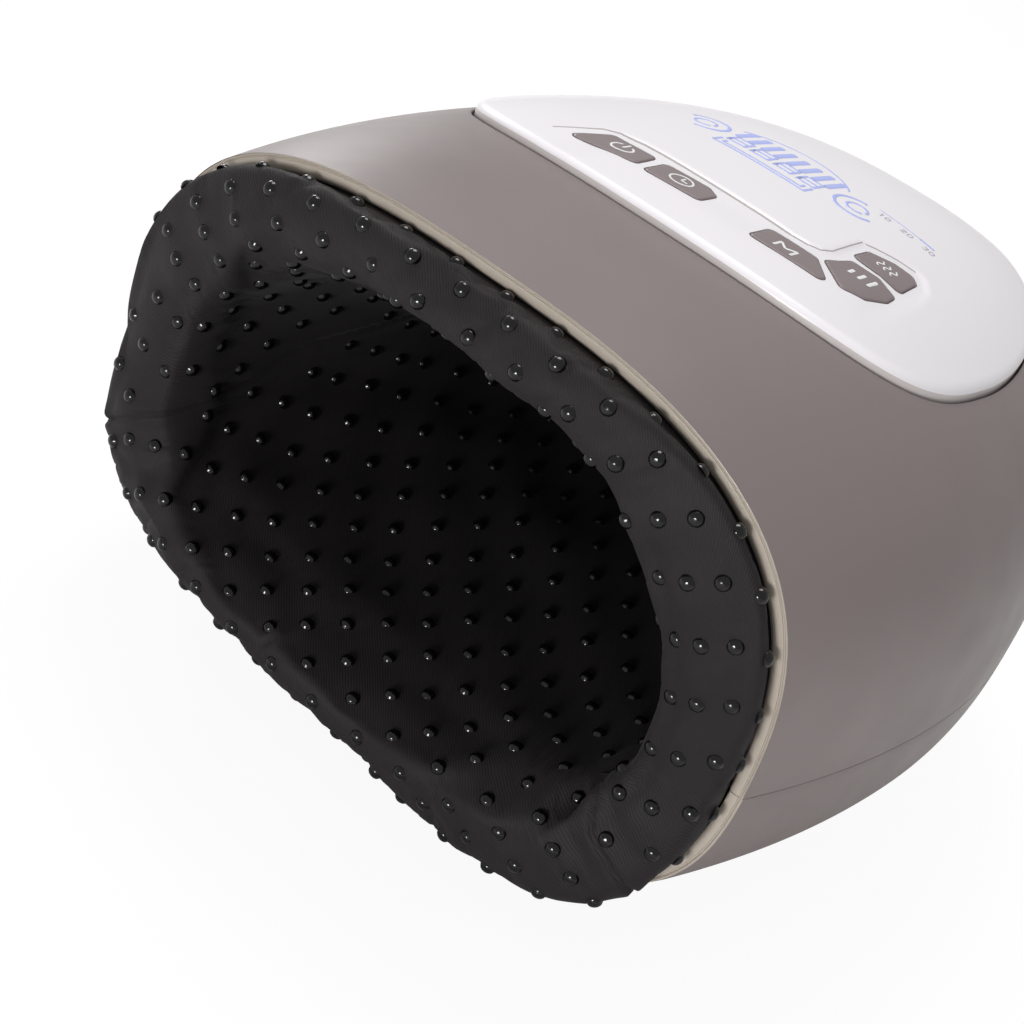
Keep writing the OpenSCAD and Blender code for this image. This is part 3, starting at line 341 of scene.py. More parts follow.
class Finish:
    """One material's nodes, joined by short calls."""

    def __init__(self, name, color, rough, **more):
        self.mat = bpy.data.materials.new(name)
        self.mat.use_nodes = True
        self.tree = self.mat.node_tree
        self.shader = self.tree.nodes["Principled BSDF"]
        self.base = color
        self.mat.diffuse_color = (*color, 1)
        self.set("Base Color", (*color, 1))
        self.set("Roughness", rough)
        for key, value in more.items():
            self.set(key.replace("_", " "), value)

    def set(self, socket, value):
        feed(self.tree, self.shader.inputs[socket], value)

    def node(self, kind, settings=(), **inputs):
        return add_node(self.tree, kind, settings, **inputs)

    def math(self, operation, a, b=0.0):
        return self.node("Math", {"operation": operation}, i0=a, i1=b).outputs[0]

    def noise(self, scale, detail, vector=None):
        vector = vector or self.coords()
        return self.node("TexNoise", Scale=scale, Detail=detail, Vector=vector).outputs["Fac"]

    def bands(self, direction, scale, distortion):
        settings = {"wave_type": "BANDS", "bands_direction": direction}
        inputs = {"Scale": scale, "Distortion": distortion, "Vector": self.coords()}
        return self.node("TexWave", settings, **inputs).outputs["Fac"]

    def coords(self):
        return self.node("TexCoord").outputs["Object"]

    def ramp(self, value, low, high, to_low, to_high):
        ends = {"From_Min": low, "From_Max": high, "To_Min": to_low, "To_Max": to_high}
        return self.node("MapRange", Value=value, **ends).outputs[0]

    def tint(self, value, low, high):
        """Base colour between two colours, by a value from 0 to 1."""
        made = self.node("Mix", {"data_type": "RGBA"}, i0=value, i6=(*low, 1), i7=(*high, 1))
        self.set("Base Color", made.outputs[2])

    def shade(self, value, low, high):
        """Base colour between two shares of the finish's own."""
        self.tint(value, [c * low for c in self.base], [min(1, c * high) for c in self.base])

    def rough(self, value, low, high):
        self.set("Roughness", self.ramp(value, *NOISE_SPAN, low, high))

    def bump(self, value, strength, depth_mm):
        made = self.node("Bump", Height=value, Strength=strength, Distance=depth_mm * MM)
        self.set("Normal", made.outputs[0])


def linear(*srgb):
    return tuple(((c / 255 + 0.055) / 1.055) ** 2.4 if c > 10 else c / 255 / 12.92 for c in srgb)


def moulded(name, srgb, rough, grain=900, depth=0.05, spread=0.05, uneven=0.055, **more):
    """Moulded plastic: fine spark grain, slow drift of colour, uneven sheen."""
    f = Finish(name, linear(*srgb), rough, **more)
    drift, fine = f.noise(9, 4), f.noise(grain, 2)
    blend = f.math("ADD", f.math("MULTIPLY", drift, 0.55), f.math("MULTIPLY", fine, 0.45))
    f.shade(blend, 1 - spread, 1 + spread)
    f.rough(f.noise(60, 2), rough - uneven, rough + uneven)
    f.bump(fine, 0.25, depth)
    return f.mat


def metal(name, srgb, rough=0.28):
    """Brushed metal: fine lines along the height."""
    f = Finish(name, linear(*srgb), rough, Metallic=1.0)
    stretch = f.node("Mapping", Vector=f.coords(), Scale=(1, 1, 30))
    lines = f.noise(220, 4, stretch.outputs[0])
    f.shade(lines, 0.85, 1.08)
    f.rough(lines, rough - 0.08, rough + 0.12)
    f.bump(lines, 0.15, 0.03)
    return f.mat


def rubber(name, srgb, rough=0.68):
    """Dull rubber with a little dust."""
    f = Finish(name, linear(*srgb), rough)
    dust, skin = f.noise(35, 6), f.noise(1500, 2)
    f.shade(dust, 0.8, 1.3)
    f.rough(dust, rough - 0.08, rough + 0.1)
    f.bump(skin, 0.3, 0.06)
    return f.mat


def board_finish(name, srgb):
    """Lacquered circuit board with faint traces under the mask."""
    base = linear(*srgb)
    f = Finish(name, base, 0.3, Coat_Weight=0.35)
    edges = {"feature": "DISTANCE_TO_EDGE"}
    cells = f.node("TexVoronoi", edges, Scale=260.0, Vector=f.coords())
    trace = f.ramp(cells.outputs["Distance"], 0.02, 0.06, 1.0, 0.0)
    f.tint(trace, base, [min(1, c * 2.1 + 0.01) for c in base])
    f.rough(f.noise(90, 3), 0.24, 0.4)
    f.bump(trace, 0.3, 0.04)
    return f.mat


def woven(name, dark, light, pitch=0.52, sheen=0.35, rough=0.62, depth=0.09):
    """Fine twill whose ribs run at a slant over the cloth's own lengths, held in its map."""
    f = Finish(name, linear(*dark), rough)
    f.set("Sheen Weight", sheen)
    f.set("Sheen Roughness", 0.45)
    f.set("Specular IOR Level", 0.2)
    lengths = f.node("UVMap", {"uv_map": "cloth"}).outputs[0]
    u, v, _ = f.node("SeparateXYZ", Vector=lengths).outputs
    sway = f.math("MULTIPLY", f.noise(0.35, 2, lengths), 0.9)
    turn = 2 * math.pi / pitch
    slant = f.math("ADD", f.math("ADD", u, v), sway)
    cross = f.math("SUBTRACT", u, v)
    ribs = f.math("SINE", f.math("MULTIPLY", slant, turn * 0.72))
    yarn = f.math("SINE", f.math("MULTIPLY", cross, turn * 1.6))
    cloth = f.math("ADD", f.math("MULTIPLY", ribs, 0.36), f.math("MULTIPLY", yarn, 0.12))
    height = f.math("ADD", cloth, 0.5)
    fuzz = f.noise(420, 3)
    shade = f.math("ADD", f.math("MULTIPLY", height, 0.75), f.math("MULTIPLY", fuzz, 0.25))
    f.tint(shade, linear(*dark), linear(*light))
    f.rough(f.noise(50, 4), rough - 0.06, rough + 0.08)
    f.bump(height, 0.55, depth)
    return f.mat


# After the colour: roughness, grain per metre, its depth in mm, spread of colour, unevenness
taupe = moulded("taupe_satin", (131, 120, 119), 0.40, 1400, 0.035)
# Rim strip at the mouth: the casing's own plastic, given a lighter colour as painted light where
# the strip faces the front lamps.
rim_painted_light = moulded("rim_satin_painted_light", (176, 166, 154), 0.46, 1400, 0.04)
inner_plastic = moulded("taupe_inside", (112, 104, 101), 0.55)
panel_white = moulded(
    "panel_white", (247, 244, 248), 0.3, 1600, 0.012, 0.012, 0.01, Coat_Weight=0.12
)
# The panel's skirt is the side wall of the same white plastic; its greyer colour is painted shade.
panel_skirt_painted_shade = moulded("panel_skirt_painted_shade", (206, 200, 198), 0.3, 1600, 0.012, uneven=0.02)
key_grey = moulded("key_satin", (134, 121, 122), 0.42, 1800, 0.03)
icon_white = moulded("print_white", (240, 240, 242), 0.5, 900, 0.01, 0.01)
glow_blue = moulded("display_glow", (178, 190, 248), 0.35, 500, 0.01, 0.06)
mark_grey = moulded("print_grey", (178, 176, 186), 0.45, 900, 0.01, 0.02)
# A grey stroke along the crease behind the keys: a painted shadow of the step between the two
# decks.
crease_painted_shadow = moulded("crease_painted_shadow", (182, 175, 174), 0.5, 900, 0.01, 0.02)
cloth_black = woven("massage_twill", (21, 19, 20), (42, 38, 39), sheen=0.03)
silicone = moulded("silicone_dots", (6, 6, 6), 0.14, 500, 0.006, 0.1)
dark_plastic = moulded("dark_plastic", (48, 48, 52), 0.5)
pale_plastic = moulded("pale_plastic", (214, 214, 212), 0.45)
board_green = board_finish("board_mask", (26, 92, 58))
foot_rubber = rubber("foot_rubber", (34, 33, 34))
steel = metal("screw_steel", (196, 196, 200))


# ---- casing
MOUTH_STEPS, SIDE_STEPS = 36, 18
LOOP_N = MOUTH_STEPS + 2 * SIDE_STEPS
EDGE_GROW = 1.1


def loop_edge(i):
    """Place and angle of the band's edge: round the mouth, then along the parting line."""
    mouth = i <= MOUTH_STEPS
    left = i < MOUTH_STEPS + SIDE_STEPS
    back = np.where(left, i - MOUTH_STEPS, LOOP_N - i) / SIDE_STEPS
    s = np.where(mouth, 0, np.sin(np.radians(90 * np.clip(back, 0, 1))))
    a = np.where(mouth, 180 * i / MOUTH_STEPS, np.where(left, 180, 0))
    return s, np.radians(np.where(i == MOUTH_STEPS + SIDE_STEPS, 90, a))


def loop_angle(i):
    """Angle on the panel's outline that a place of the band's edge belongs to."""
    mouth, side = -45 - 90 * i / MOUTH_STEPS, -135 - 135 * (i - MOUTH_STEPS) / SIDE_STEPS
    return np.radians(np.where(i <= MOUTH_STEPS, mouth, side))


def band_sa(i, k):
    """Place and angle of a point of the upper casing: i round it, k from its edge to the panel."""
    x, y = panel_xy(loop_angle(i), 1, EDGE_GROW)
    s0, a0 = loop_edge(i)
    s1, a1 = plan_sa(x, y)
    t, u = k**2, k**TAIL_EXP
    s_turn = np.sin(mix(np.arcsin(s0), np.arcsin(s1), t))
    a_turn = mix(a0, a1, t)
    edge_x = np.where(i < MOUTH_STEPS + SIDE_STEPS, -1, 1) * body_w(s0)
    s_line, a_line = plan_sa(mix(edge_x, x, u), mix(BODY_L * s0, y, u))
    share = ease(1 - np.abs(i - MOUTH_STEPS - SIDE_STEPS) / SIDE_STEPS)
    share = np.where((i <= MOUTH_STEPS) | (k == 0), 0, share)
    return mix(s_turn, s_line, share), mix(a_turn, a_line, share)


# Lips of the casing from the outer face to the inner one: inset, and how far back from the edge
RIM = [(0.0, 0.5), (0.08, 0.22), (0.3, 0.06), (0.5, 0.16), (0.62, 0.36), (0.8, 0.36)]
RIM += [(0.9, 0.1), (1.1, 0.0), (2.4, 0.0), (2.8, 0.12), (3.0, 0.5)]
PARTING = [(0.0, 0.22), (0.05, 0.1), (0.16, 0.03), (0.3, 0.0), (2.9, 0.0), (3.0, 0.1)]
# The panel's opening: out from the panel's outline, down from the dome; the last five are inside
OPENING = [(EDGE_GROW, 0), (0.85, 0.02), (0.62, 0.1), (0.47, 0.25), (PANEL_GAP, 0.5)]
OPENING += [(PANEL_GAP, PANEL_T), (-LEDGE_W, PANEL_T), (-LEDGE_W, PANEL_T + LEDGE_T)]
OPENING += [(EDGE_GROW, PANEL_T + LEDGE_T)]
OPENING_SEEN = 5
BAND_STEP, BAND_ROWS, WELD = 0.125, 49, 4e-6


def casing_upper():
    """The upper casing: visor, band, opening and ledge of the panel, and the charging slot."""
    loop = np.arange(0, LOOP_N, BAND_STEP)
    i, k = np.meshgrid(loop, np.linspace(0, 1, BAND_ROWS), indexing="ij")
    s, a = band_sa(i, k)
    outer = body_pt(s, a).transpose(1, 0, 2)
    inner = body_pt(s, a, WALL).transpose(1, 0, 2)
    s0, a0 = loop_edge(loop)
    mouth = (loop <= MOUTH_STEPS)[:, None]
    rim = []
    for step in range(len(RIM)):
        inset, back = RIM[step]
        at_mouth = body_pt(s0, a0, inset) + [0, back, 0]
        flat = min(step, len(PARTING) - 1)
        p_inset, rise = PARTING[flat] if step < len(RIM) - 1 else PARTING[-1]
        at_side = body_pt(s0, a0, p_inset) + [0, 0, rise]
        rim.append(np.where(mouth, at_mouth, at_side))
    outer[0], inner[0] = rim[0], rim[-1]
    shape = Shape()
    shape.grid(outer, wrap_cols=True)
    half = len(loop[loop <= MOUTH_STEPS])
    rim = np.stack(rim)
    # The mouth's rim strip takes the lighter rim colour, which is painted light; the rim along the
    # sides keeps the taupe.
    shape.grid(rim[:, :half], slot=1)
    shape.grid(rim[:, np.r_[half - 1 : len(loop), 0]], slot=0)
    shape.grid(inner, wrap_cols=True, slot=2)
    t = loop_angle(loop)
    edge = []
    for grow, drop in OPENING:
        x, y = panel_xy(t, 1, grow)
        edge.append(plan_pt(x, y, dome_z(x, y) - drop))
    edge[0] = outer[-1]
    shape.rings(edge[:OPENING_SEEN])
    shape.rings([*edge[OPENING_SEEN - 1 :], inner[-1]], slot=2)
    obj = shape.build("upper_casing", [taupe, rim_painted_light, inner_plastic], weld=WELD)
    cut(obj, [slot_cutter()])
    place(obj, CASING, ["upper_shell"], "taupe_shell")


def casing_lower():
    """The lower casing with the mouth's lip, its parting line and its screw wells."""
    a = np.linspace(math.pi, 2 * math.pi, 181)
    s = np.sin(np.linspace(0, math.pi / 2, 121))
    sg, ag = np.meshgrid(s, a, indexing="ij")
    outer, inner = body_pt(sg, ag), body_pt(sg, ag, WALL)
    rim = np.stack([body_pt(0.0, a, inset) + [0, back, 0] for inset, back in RIM])
    shape = Shape()
    for side, angle in ((0, math.pi), (-1, 2 * math.pi)):
        steps = [PARTING[min(step, len(PARTING) - 1)] for step in range(len(RIM))]
        lip = np.stack([body_pt(s, angle, inset) - [0, 0, drop] for inset, drop in steps])
        rim[:, side, 2] = lip[:, 0, 2]
        lip[:, 0] = rim[:, side]
        outer[:, side], inner[:, side] = lip[0], lip[-1]
        outer[-1], inner[-1] = lip[0, -1], lip[-1, -1]
        shape.grid(lip)
    outer[0], inner[0] = rim[0], rim[-1]
    shape.grid(outer)
    # The lip's rim strip takes the lighter rim colour, which is painted light.
    shape.grid(rim, slot=1)
    shape.grid(inner, slot=2)
    obj = shape.build("lower_casing", [taupe, rim_painted_light, inner_plastic], weld=WELD)
    cut(obj, [well_cutter(x, y, drop) for (x, y), drop in CASE_POSTS.items()])
    place(obj, CASING, ["lower_shell"], "taupe_shell")


# Charging slot: width, height, middle over the seam, and room round the plug
SLOT_W, SLOT_H, SLOT_UP, SLOT_ROOM = 9.4, 3.6, 11.0, 0.2
# Posts and legs inside the belly: place in the plan, and how far their tops lie under the seam
CASE_POSTS = {(-74.5, 100): 23, (74.5, 100): 23, (-17, 204): 9, (17, 204): 9}
LEGS = {(-52, 60): 31, (52, 60): 31, (-50, 105): 31, (50, 105): 31}
LEGS |= {(-26, 169.6): 19, (26, 169.6): 19}
HEAD_R, SCREW_R, POST_R, LEG_R, LEG_HOLE_R, TOP_GAP = 3.0, 1.55, 4.2, 3.0, 0.9, 0.2
FEET, FOOT_R, FOOT_H, FOOT_HOLE_R = [(-46, 40), (46, 40), (-34, 136), (34, 136)], 8.0, 2.5, 2
TURNED_SIDES = 48


def belly_z(x, y, inset=0.0):
    s = y / (BODY_L - inset)
    side = (abs(x) / body_w(s, inset)) ** BELLY_EXP
    return float(SEAM_Z - body_d(s, inset) * (1 - side) ** (1 / BELLY_EXP))


def turned(shape, x, y, profile):
    """A turned piece: a closed profile of radii and heights about an upright line of the plan."""
    a = full_turn(TURNED_SIDES)
    rows = [plan_pt(x + r * np.cos(a), y + r * np.sin(a), z) for r, z in profile]
    shape.grid(np.stack(rows), wrap_rows=True, wrap_cols=True)


def slot_cutter():
    """The charging port's opening: a stadium through the tail."""
    a = full_turn(48)
    half, r = (SLOT_W - SLOT_H) / 2, SLOT_H / 2 + SLOT_ROOM
    x, z = half * np.sign(np.cos(a)) + r * np.cos(a), SEAM_Z + SLOT_UP + r * np.sin(a)
    return tube([plan_pt(x, BODY_L + y, z) for y in (-12, 8)], "slot_cutter")


def well_cutter(x, y, drop):
    shape = Shape()
    turned(shape, x, y, [(0.01, 0), (HEAD_R, 0), (HEAD_R, SEAM_Z - drop), (0.01, SEAM_Z - drop)])
    return shape.build("well_cutter", [], smooth=False)


def belly_posts():
    """Screw wells, foot bosses and the posts inside the lower casing."""
    shape = Shape()
    for (x, y), drop in CASE_POSTS.items():
        low, seat, top = belly_z(x, y, WALL / 2), SEAM_Z - drop, SEAM_Z - TOP_GAP
        well = [(HEAD_R, low), (HEAD_R, seat - 0.3), (HEAD_R - 0.3, seat)]
        turned(shape, x, y, [*well, (SCREW_R, seat), (SCREW_R, top), (POST_R, top), (POST_R, low)])
    for x, y in FEET:
        r, top = FOOT_R, belly_z(abs(x) + FOOT_R, y, WALL / 2)
        foot = [(r - 0.5, FOOT_H), (r - 0.15, FOOT_H + 0.15), (r, FOOT_H + 0.5), (r, top)]
        turned(shape, x, y, [(FOOT_HOLE_R, FOOT_H), *foot, (FOOT_HOLE_R, top)])
    for (x, y), drop in LEGS.items():
        low, top = belly_z(x, y, WALL / 2), SEAM_Z - drop
        leg = [(LEG_HOLE_R, low), (LEG_R, low), (LEG_R, top), (LEG_HOLE_R, top)]
        turned(shape, x, y, leg)
    place(shape.build("belly_posts", [taupe], sharp=40), CASING, slot="taupe_shell")


# ---- panel and keys
# The crease behind the keys, in the plan from left to right, and the deck that it bounds
CREASE = [(-33, 46.4), (-29.5, 53.4), (-28, 57), (-25.3, 59.4), (-20, 60.2), (17, 60.2)]
CREASE += [(20.9, 61.1), (23.3, 62.8), (24.4, 65.8), (23.9, 79.4), (26.3, 81.8), (30.8, 85.0)]
CREASE += [(34.3, 86.5), (36.9, 85.6), (39.8, 82), (41.4, 76), (43.6, 70), (48, 62)]
CREASE = np.array(CREASE, float)
DECK = np.vstack([CREASE, [(48, 30), (-40, 30), (-36, 44)]])
DECK_DROP, DECK_EDGE, DECK_REACH = 0.55, 0.9, 11.0

KEYS = {
    "power_key": [(-29.6, 45.5), (-14.2, 48), (-14.7, 56.8), (-25.4, 56.8)],
    "timer_key": [(-12, 47.4), (1.2, 48.8), (1.2, 55.8), (-2, 57.8), (-12.3, 56.8)],
    "mode_key": [(13.8, 48), (29.8, 50.6), (30.4, 52.4), (24.6, 58.6), (13.8, 57)],
    "intensity_key": [
        *((25.6, 60), (33.2, 53.8), (37.4, 57.4), (39.4, 64)),
        *((38.8, 68.8), (33.5, 69.8), (27.8, 68.4), (27, 64.4)),
    ],
    "heat_key": [
        *((26.4, 70.6), (32.3, 71.2), (38.2, 72), (37.2, 81.6)),
        *((35, 83.6), (31, 82.2), (26.4, 78)),
    ],
}


def line_distance(x, y, line):
    best = np.full(x.shape, 1e9)
    for (x0, y0), (x1, y1) in zip(line[:-1], line[1:]):
        dx, dy = x1 - x0, y1 - y0
        t = np.clip(((x - x0) * dx + (y - y0) * dy) / (dx * dx + dy * dy), 0, 1)
        best = np.minimum(best, np.hypot(x - x0 - t * dx, y - y0 - t * dy))
    return best


def within(x, y, polygon):
    inside = np.zeros(x.shape, bool)
    for (x0, y0), (x1, y1) in zip(polygon, np.roll(polygon, -1, 0)):
        if y0 != y1:
            crosses = ((y0 > y) != (y1 > y)) & (x < (x1 - x0) * (y - y0) / (y1 - y0) + x0)
            inside ^= crosses
    return inside


def deck_drop(x, y):
    """Depth of the keys' deck under the display's: a step at the crease, fading to the front."""
    d = line_distance(x, y, CREASE)
    step = ease(0.5 + d / DECK_EDGE / 2)
    step = np.where(within(x, y, DECK), step, 1 - step)
    step = np.where(within(x, y, DECK) | (d < DECK_EDGE), step, 0)
    fade = (1 - ease((d - 4) / DECK_REACH)) * ease((x + 31) / 9) * (1 - ease((x - 38) / 6))
    return DECK_DROP * step * fade


def panel_z(x, y):
    """Height of the panel's face over a point of the plan."""
    lift = PANEL_RISE + PANEL_CROWN * np.maximum(0, 1 - panel_r(x, y) ** 2)
    return dome_z(x, y) + lift - deck_drop(x, y)


PANEL_COLS, PANEL_ROWS, PANEL_BORDER, EDGE_ROUND = 480, 104, 3.2, 1.5
EDGE_INSETS = (2.9, 2.5, 2.1, 1.8, 1.5, 1.2, 0.95, 0.7, 0.5, 0.3, 0.15, 0.05, 0.0)
# The panel's skirt: out from its outline, and up from the dome
SKIRT = [(0.0, PANEL_RISE - 1.5), (-0.05, PANEL_RISE - 2.1), (-0.12, -0.2)]
SKIRT += [(-0.12, -PANEL_T), (-PANEL_SKIN, -PANEL_T)]


def top_panel():
    """The pale panel: its face with the keys' openings, its rounded edge, skirt and underside."""
    t = full_turn(PANEL_COLS)
    shape = Shape()
    rows = []
    for r in np.linspace(0.02, 1, PANEL_ROWS) ** 0.9:
        x, y = panel_xy(t, r, -PANEL_BORDER)
        rows.append(plan_pt(x, y, panel_z(x, y)))
    for d in EDGE_INSETS:
        x, y = panel_xy(t, 1, -d)
        sink = EDGE_ROUND - math.sqrt(max(0, EDGE_ROUND**2 - max(0, EDGE_ROUND - d) ** 2))
        rows.append(plan_pt(x, y, panel_z(x, y) - 0.75 * sink))
    shape.rings(rows)
    shape.fan(rows[0], rows[0].mean(0))
    skirt = [rows[-1]]
    for grow, rise in SKIRT:
        x, y = panel_xy(t, 1, grow)
        skirt.append(plan_pt(x, y, dome_z(x, y) + rise))
    # The skirt takes the greyer skirt colour, which is painted shade on the panel's side wall.
    shape.rings(skirt, slot=1)
    under = [skirt[-1]]
    for r in (0.95, 0.6, 0.3, 0.02):
        x, y = panel_xy(t, r, -PANEL_SKIN - 0.4)
        under.append(plan_pt(x, y, panel_z(x, y) - PANEL_SKIN))
    shape.rings(under)
    shape.fan(under[-1], under[-1].mean(0))
    obj = shape.build("top_panel_skin", [panel_white, panel_skirt_painted_shade], weld=WELD, sharp=50)
    cut(obj, [key_cutter(corners) for corners in KEYS.values()], sharp=50)
    place(obj, CASING, ["top_panel"], "white_panel")


def key_cutter(corners):
    """A prism through the panel, wider than the key by its gap."""
    x, y = round_outline(corners, KEY_CORNER, KEY_GAP).T
    return tube([plan_pt(x, y, z) for z in (80, 140)], "key_cutter")


KEY_PROUD, KEY_DEPTH = 0.22, 4.6
# Rows of a key from its foot to its middle: share of the outline, and depth under the face
KEY_ROWS = [(1.0, KEY_DEPTH), (1.0, 0.75), (0.996, 0.45), (0.985, 0.22), (0.968, 0.09)]
KEY_ROWS += [(0.94, 0.02), (0.88, 0), (0.72, 0), (0.5, 0), (0.25, 0)]


def key_z(x, y):
    return panel_z(x, y) + KEY_PROUD


def key(name, corners):
    """A key's cap: a rounded edge and a face that follows the panel, with its icon printed on."""
    outline = round_outline(corners, KEY_CORNER, 0.0, 9)
    middle = outline.mean(0)
    rows = []
    for share, drop in KEY_ROWS:
        x, y = (middle + (outline - middle) * share).T
        rows.append(plan_pt(x, y, key_z(x, y) - drop))
    rows[0][:, 2] = rows[0][:, 2].min()
    shape = Shape()
    shape.rings(rows)
    shape.fan(rows[-1], plan_pt(*middle, key_z(*middle)))
    shape.plate(rows[0])
    obj = shape.build(name + "_cap", [key_grey], sharp=40)
    place(obj, name, [name], "key_grey")


def arc(cx, cy, r, a0, a1, steps=28, squash_y=1.0):
    a = np.radians(np.linspace(a0, a1, steps))
    return np.column_stack([cx + r * np.cos(a), cy + r * squash_y * np.sin(a)])


def ribbon(shape, line, width, height_of, slot=0, lift=0.05):
    """A printed stroke with round ends that lies on a surface of the plan."""
    p = np.asarray(line, float)
    along = unit(np.gradient(p, axis=0))
    side = np.column_stack([-along[:, 1], along[:, 0]]) * width / 2
    rows = []
    for share in (-1, -0.9, 0, 0.9, 1):
        x, y = (p + side * share).T
        rise = lift if abs(share) < 1 else -0.02
        rows.append(plan_pt(x, y, height_of(x, y) + rise))
    shape.grid(np.stack(rows), slot=slot)
    a = full_turn(14)
    for end in (0, -1):
        x, y = p[end, 0] + np.cos(a) * width / 2, p[end, 1] + np.sin(a) * width / 2
        ring = plan_pt(x, y, height_of(x, y) + lift * 0.98)
        shape.fan(ring, ring.mean(0) + [0, 0, 0.01], slot)


def fine_line(points, step=0.35):
    """A line through corners, with points at even steps."""
    p = np.asarray(points, float)
    length = run(p)
    at = np.linspace(0, length[-1], max(3, int(length[-1] / step) + 1))
    return np.column_stack([np.interp(at, length, p[:, 0]), np.interp(at, length, p[:, 1])])


def wave(cx, cy, height, swing):
    """One wavy line of the heat icon."""
    t = np.linspace(-0.5, 0.5, 22)
    return np.column_stack([cx + swing * np.sin(t * 2 * math.pi * 1.15), cy + height * t])


def icons():
    """The icons printed on the keys: power, clock, mode, rising bars and heat."""
    stem = fine_line([(-20.4, 52.4), (-20.4, 55.2)])
    hands = fine_line([(-5.9, 54.4), (-5.9, 52.8), (-4.5, 52.8)])
    mode = fine_line([(18.2, 51.2), (18.2, 54.6), (20.2, 52.6), (22.2, 54.6), (22.2, 51.2)])
    bars = [(30.2, 62.6, 64.4), (32.4, 62.8, 65.6), (34.8, 62.8, 66.6)]
    strokes = {
        "power_key": [(arc(-20.4, 52.3, 2.35, 125, 415), 0.5), (stem, 0.5)],
        "timer_key": [(arc(-5.9, 53.0, 2.5, 0, 360, 40), 0.45), (hands, 0.42)],
        "mode_key": [(mode, 0.62)],
        "intensity_key": [(fine_line([(x, low), (x, high)]), 0.85) for x, low, high in bars],
        "heat_key": [(wave(x, 76.6, 3.4, 0.42), 0.42) for x in (30.2, 31.9, 33.6)],
    }
    for name, lines in strokes.items():
        shape = Shape()
        for line, width in lines:
            ribbon(shape, line, width, key_z)
        place(shape.build(name + "_print", [icon_white], sharp=180), name, slot="key_grey")


DIGITS = {
    "0": [(0, 0.2), (0, 0.8), (0.5, 1), (1, 0.8), (1, 0.2), (0.5, 0), (0, 0.2)],
    "1": [(0.2, 0.75), (0.6, 1), (0.6, 0)],
    "2": [(0, 0.8), (0.5, 1), (1, 0.75), (0, 0), (1, 0)],
    "3": [(0, 0.9), (0.6, 1), (1, 0.75), (0.5, 0.52), (1, 0.25), (0.6, 0), (0, 0.1)],
}


def number(shape, text, x, y, size, width, slot):
    """Prints digits on the panel, from a place to the right."""
    for k, digit in enumerate(text):
        p = np.asarray(DIGITS[digit], float) * [size * 0.55, size] + [x + k * size * 0.85, y]
        ribbon(shape, fine_line(p, 0.2), width, panel_z, slot)


DISPLAY_SHIFT = np.array([-4.3, -4.4])


def display():
    """The lit display: a level frame with bars, two turning arrows and the minutes, and a painted
    shadow line along the crease behind the keys.
    """
    shape = Shape()

    def lit(line, width):
        ribbon(shape, line + DISPLAY_SHIFT, width, panel_z)

    for x0, x1, y0, y1 in ((-14.0, 9.6, 88.6, 92.6), (-12.4, 8.0, 90.2, 91.9)):
        lit(fine_line([(x0, y1), (x0, y0), (x1, y0), (x1, y1)]), 0.8)
    for k in range(4):
        x = -13.4 + 6.1 * k
        right = x + 4.3
        box = [(x, 94.0), (x, 98.8), (right, 98.8), (right, 94.0), (x, 94.0)]
        lit(fine_line([*box, (x, 96.4), (right, 96.4)]), 0.85)
    for k in range(8):
        x = -14.0 + 3.35 * k
        lit(fine_line([(x, 100.2), (x + 0.2, 108.0)]), 1.9)
    lit(arc(-2, 98, 16.4, 32, 148, 40, 0.95), 0.6)
    for x, first, last in ((-22, -80, 150), (18, 100, 330)):
        lit(arc(x, 99.0, 5.2, first, last, 34, 1.15), 1.0)
        lit(arc(x, 99.0, 2.4, 0, 320, 26, 1.15), 0.8)
    lit(fine_line([(19.5, 107.6), (33.5, 107.9)]), 0.35)
    lit(fine_line([(30.6, 107.8), (33.8, 107.9)]), 0.9)
    for k, text in enumerate(("10", "20", "30")):
        number(shape, text, 16.4 + 6 * k, 99.6, 2.0, 0.26, 1)
    # Grey strokes along the crease, thinner to the right: a painted shadow line of the deck's
    # step.
    for first, last, width in ((0, 5, 0.55), (5, 6, 0.4), (6, 12, 0.26)):
        line = fine_line(CREASE[first : last + 1] - [0.15, 0.35])
        ribbon(shape, line, width, panel_z, 2, lift=0.04)
    obj = shape.build("display_symbols", [glow_blue, mark_grey, crease_painted_shadow], sharp=180)
    place(obj, CASING, slot="white_panel")


# ---- padded roll and lining
CLOTH_COLS, LINING_STEP = 480, 2.4
ROOT_DEPTH, FRONT_REACH, CORNER_PULL = 2.0, 10.8, 0.55
# How far the pad hangs out over the rim, by the angle round the mouth from the right side
OVERHANG = {0: 0.3, 140: 0.3, 150: 0.9, 165: 2.0, 180: 1.2, 195: -0.3, 240: -0.3, 262: 0.5}
OVERHANG |= {275: 2.4, 290: 4.8, 305: 5.4, 318: 4.6, 330: 2.2, 340: 0.3, 360: 0.3}


def bezier(p0, p1, p2, p3, steps):
    t = np.linspace(0, 1, steps)[None, :, None]
    p0, p1, p2, p3 = (p[:, None, :] for p in (p0, p1, p2, p3))
    return (1 - t) ** 3 * p0 + 3 * (1 - t) ** 2 * t * p1 + 3 * (1 - t) * t * t * p2 + t**3 * p3


def flow_share(a):
    """1 at the left and the bottom, where the pad flows into the pocket, 0 elsewhere."""
    deg = np.degrees(a) % 360
    return ease((deg - 140) / 40) * ease((318 - deg) / 30)


def lining_places():
    """Shares of the pocket's depth at even steps along its wall, to the closed end."""
    v = 1 - np.linspace(1, 0.004, 400) ** POCKET_EXP
    line = pocket_pt(v, math.radians(40), -LINER_T)
    length = run(line)
    return np.interp(np.linspace(0, 1, int(length[-1] / LINING_STEP)), length / length[-1], v)


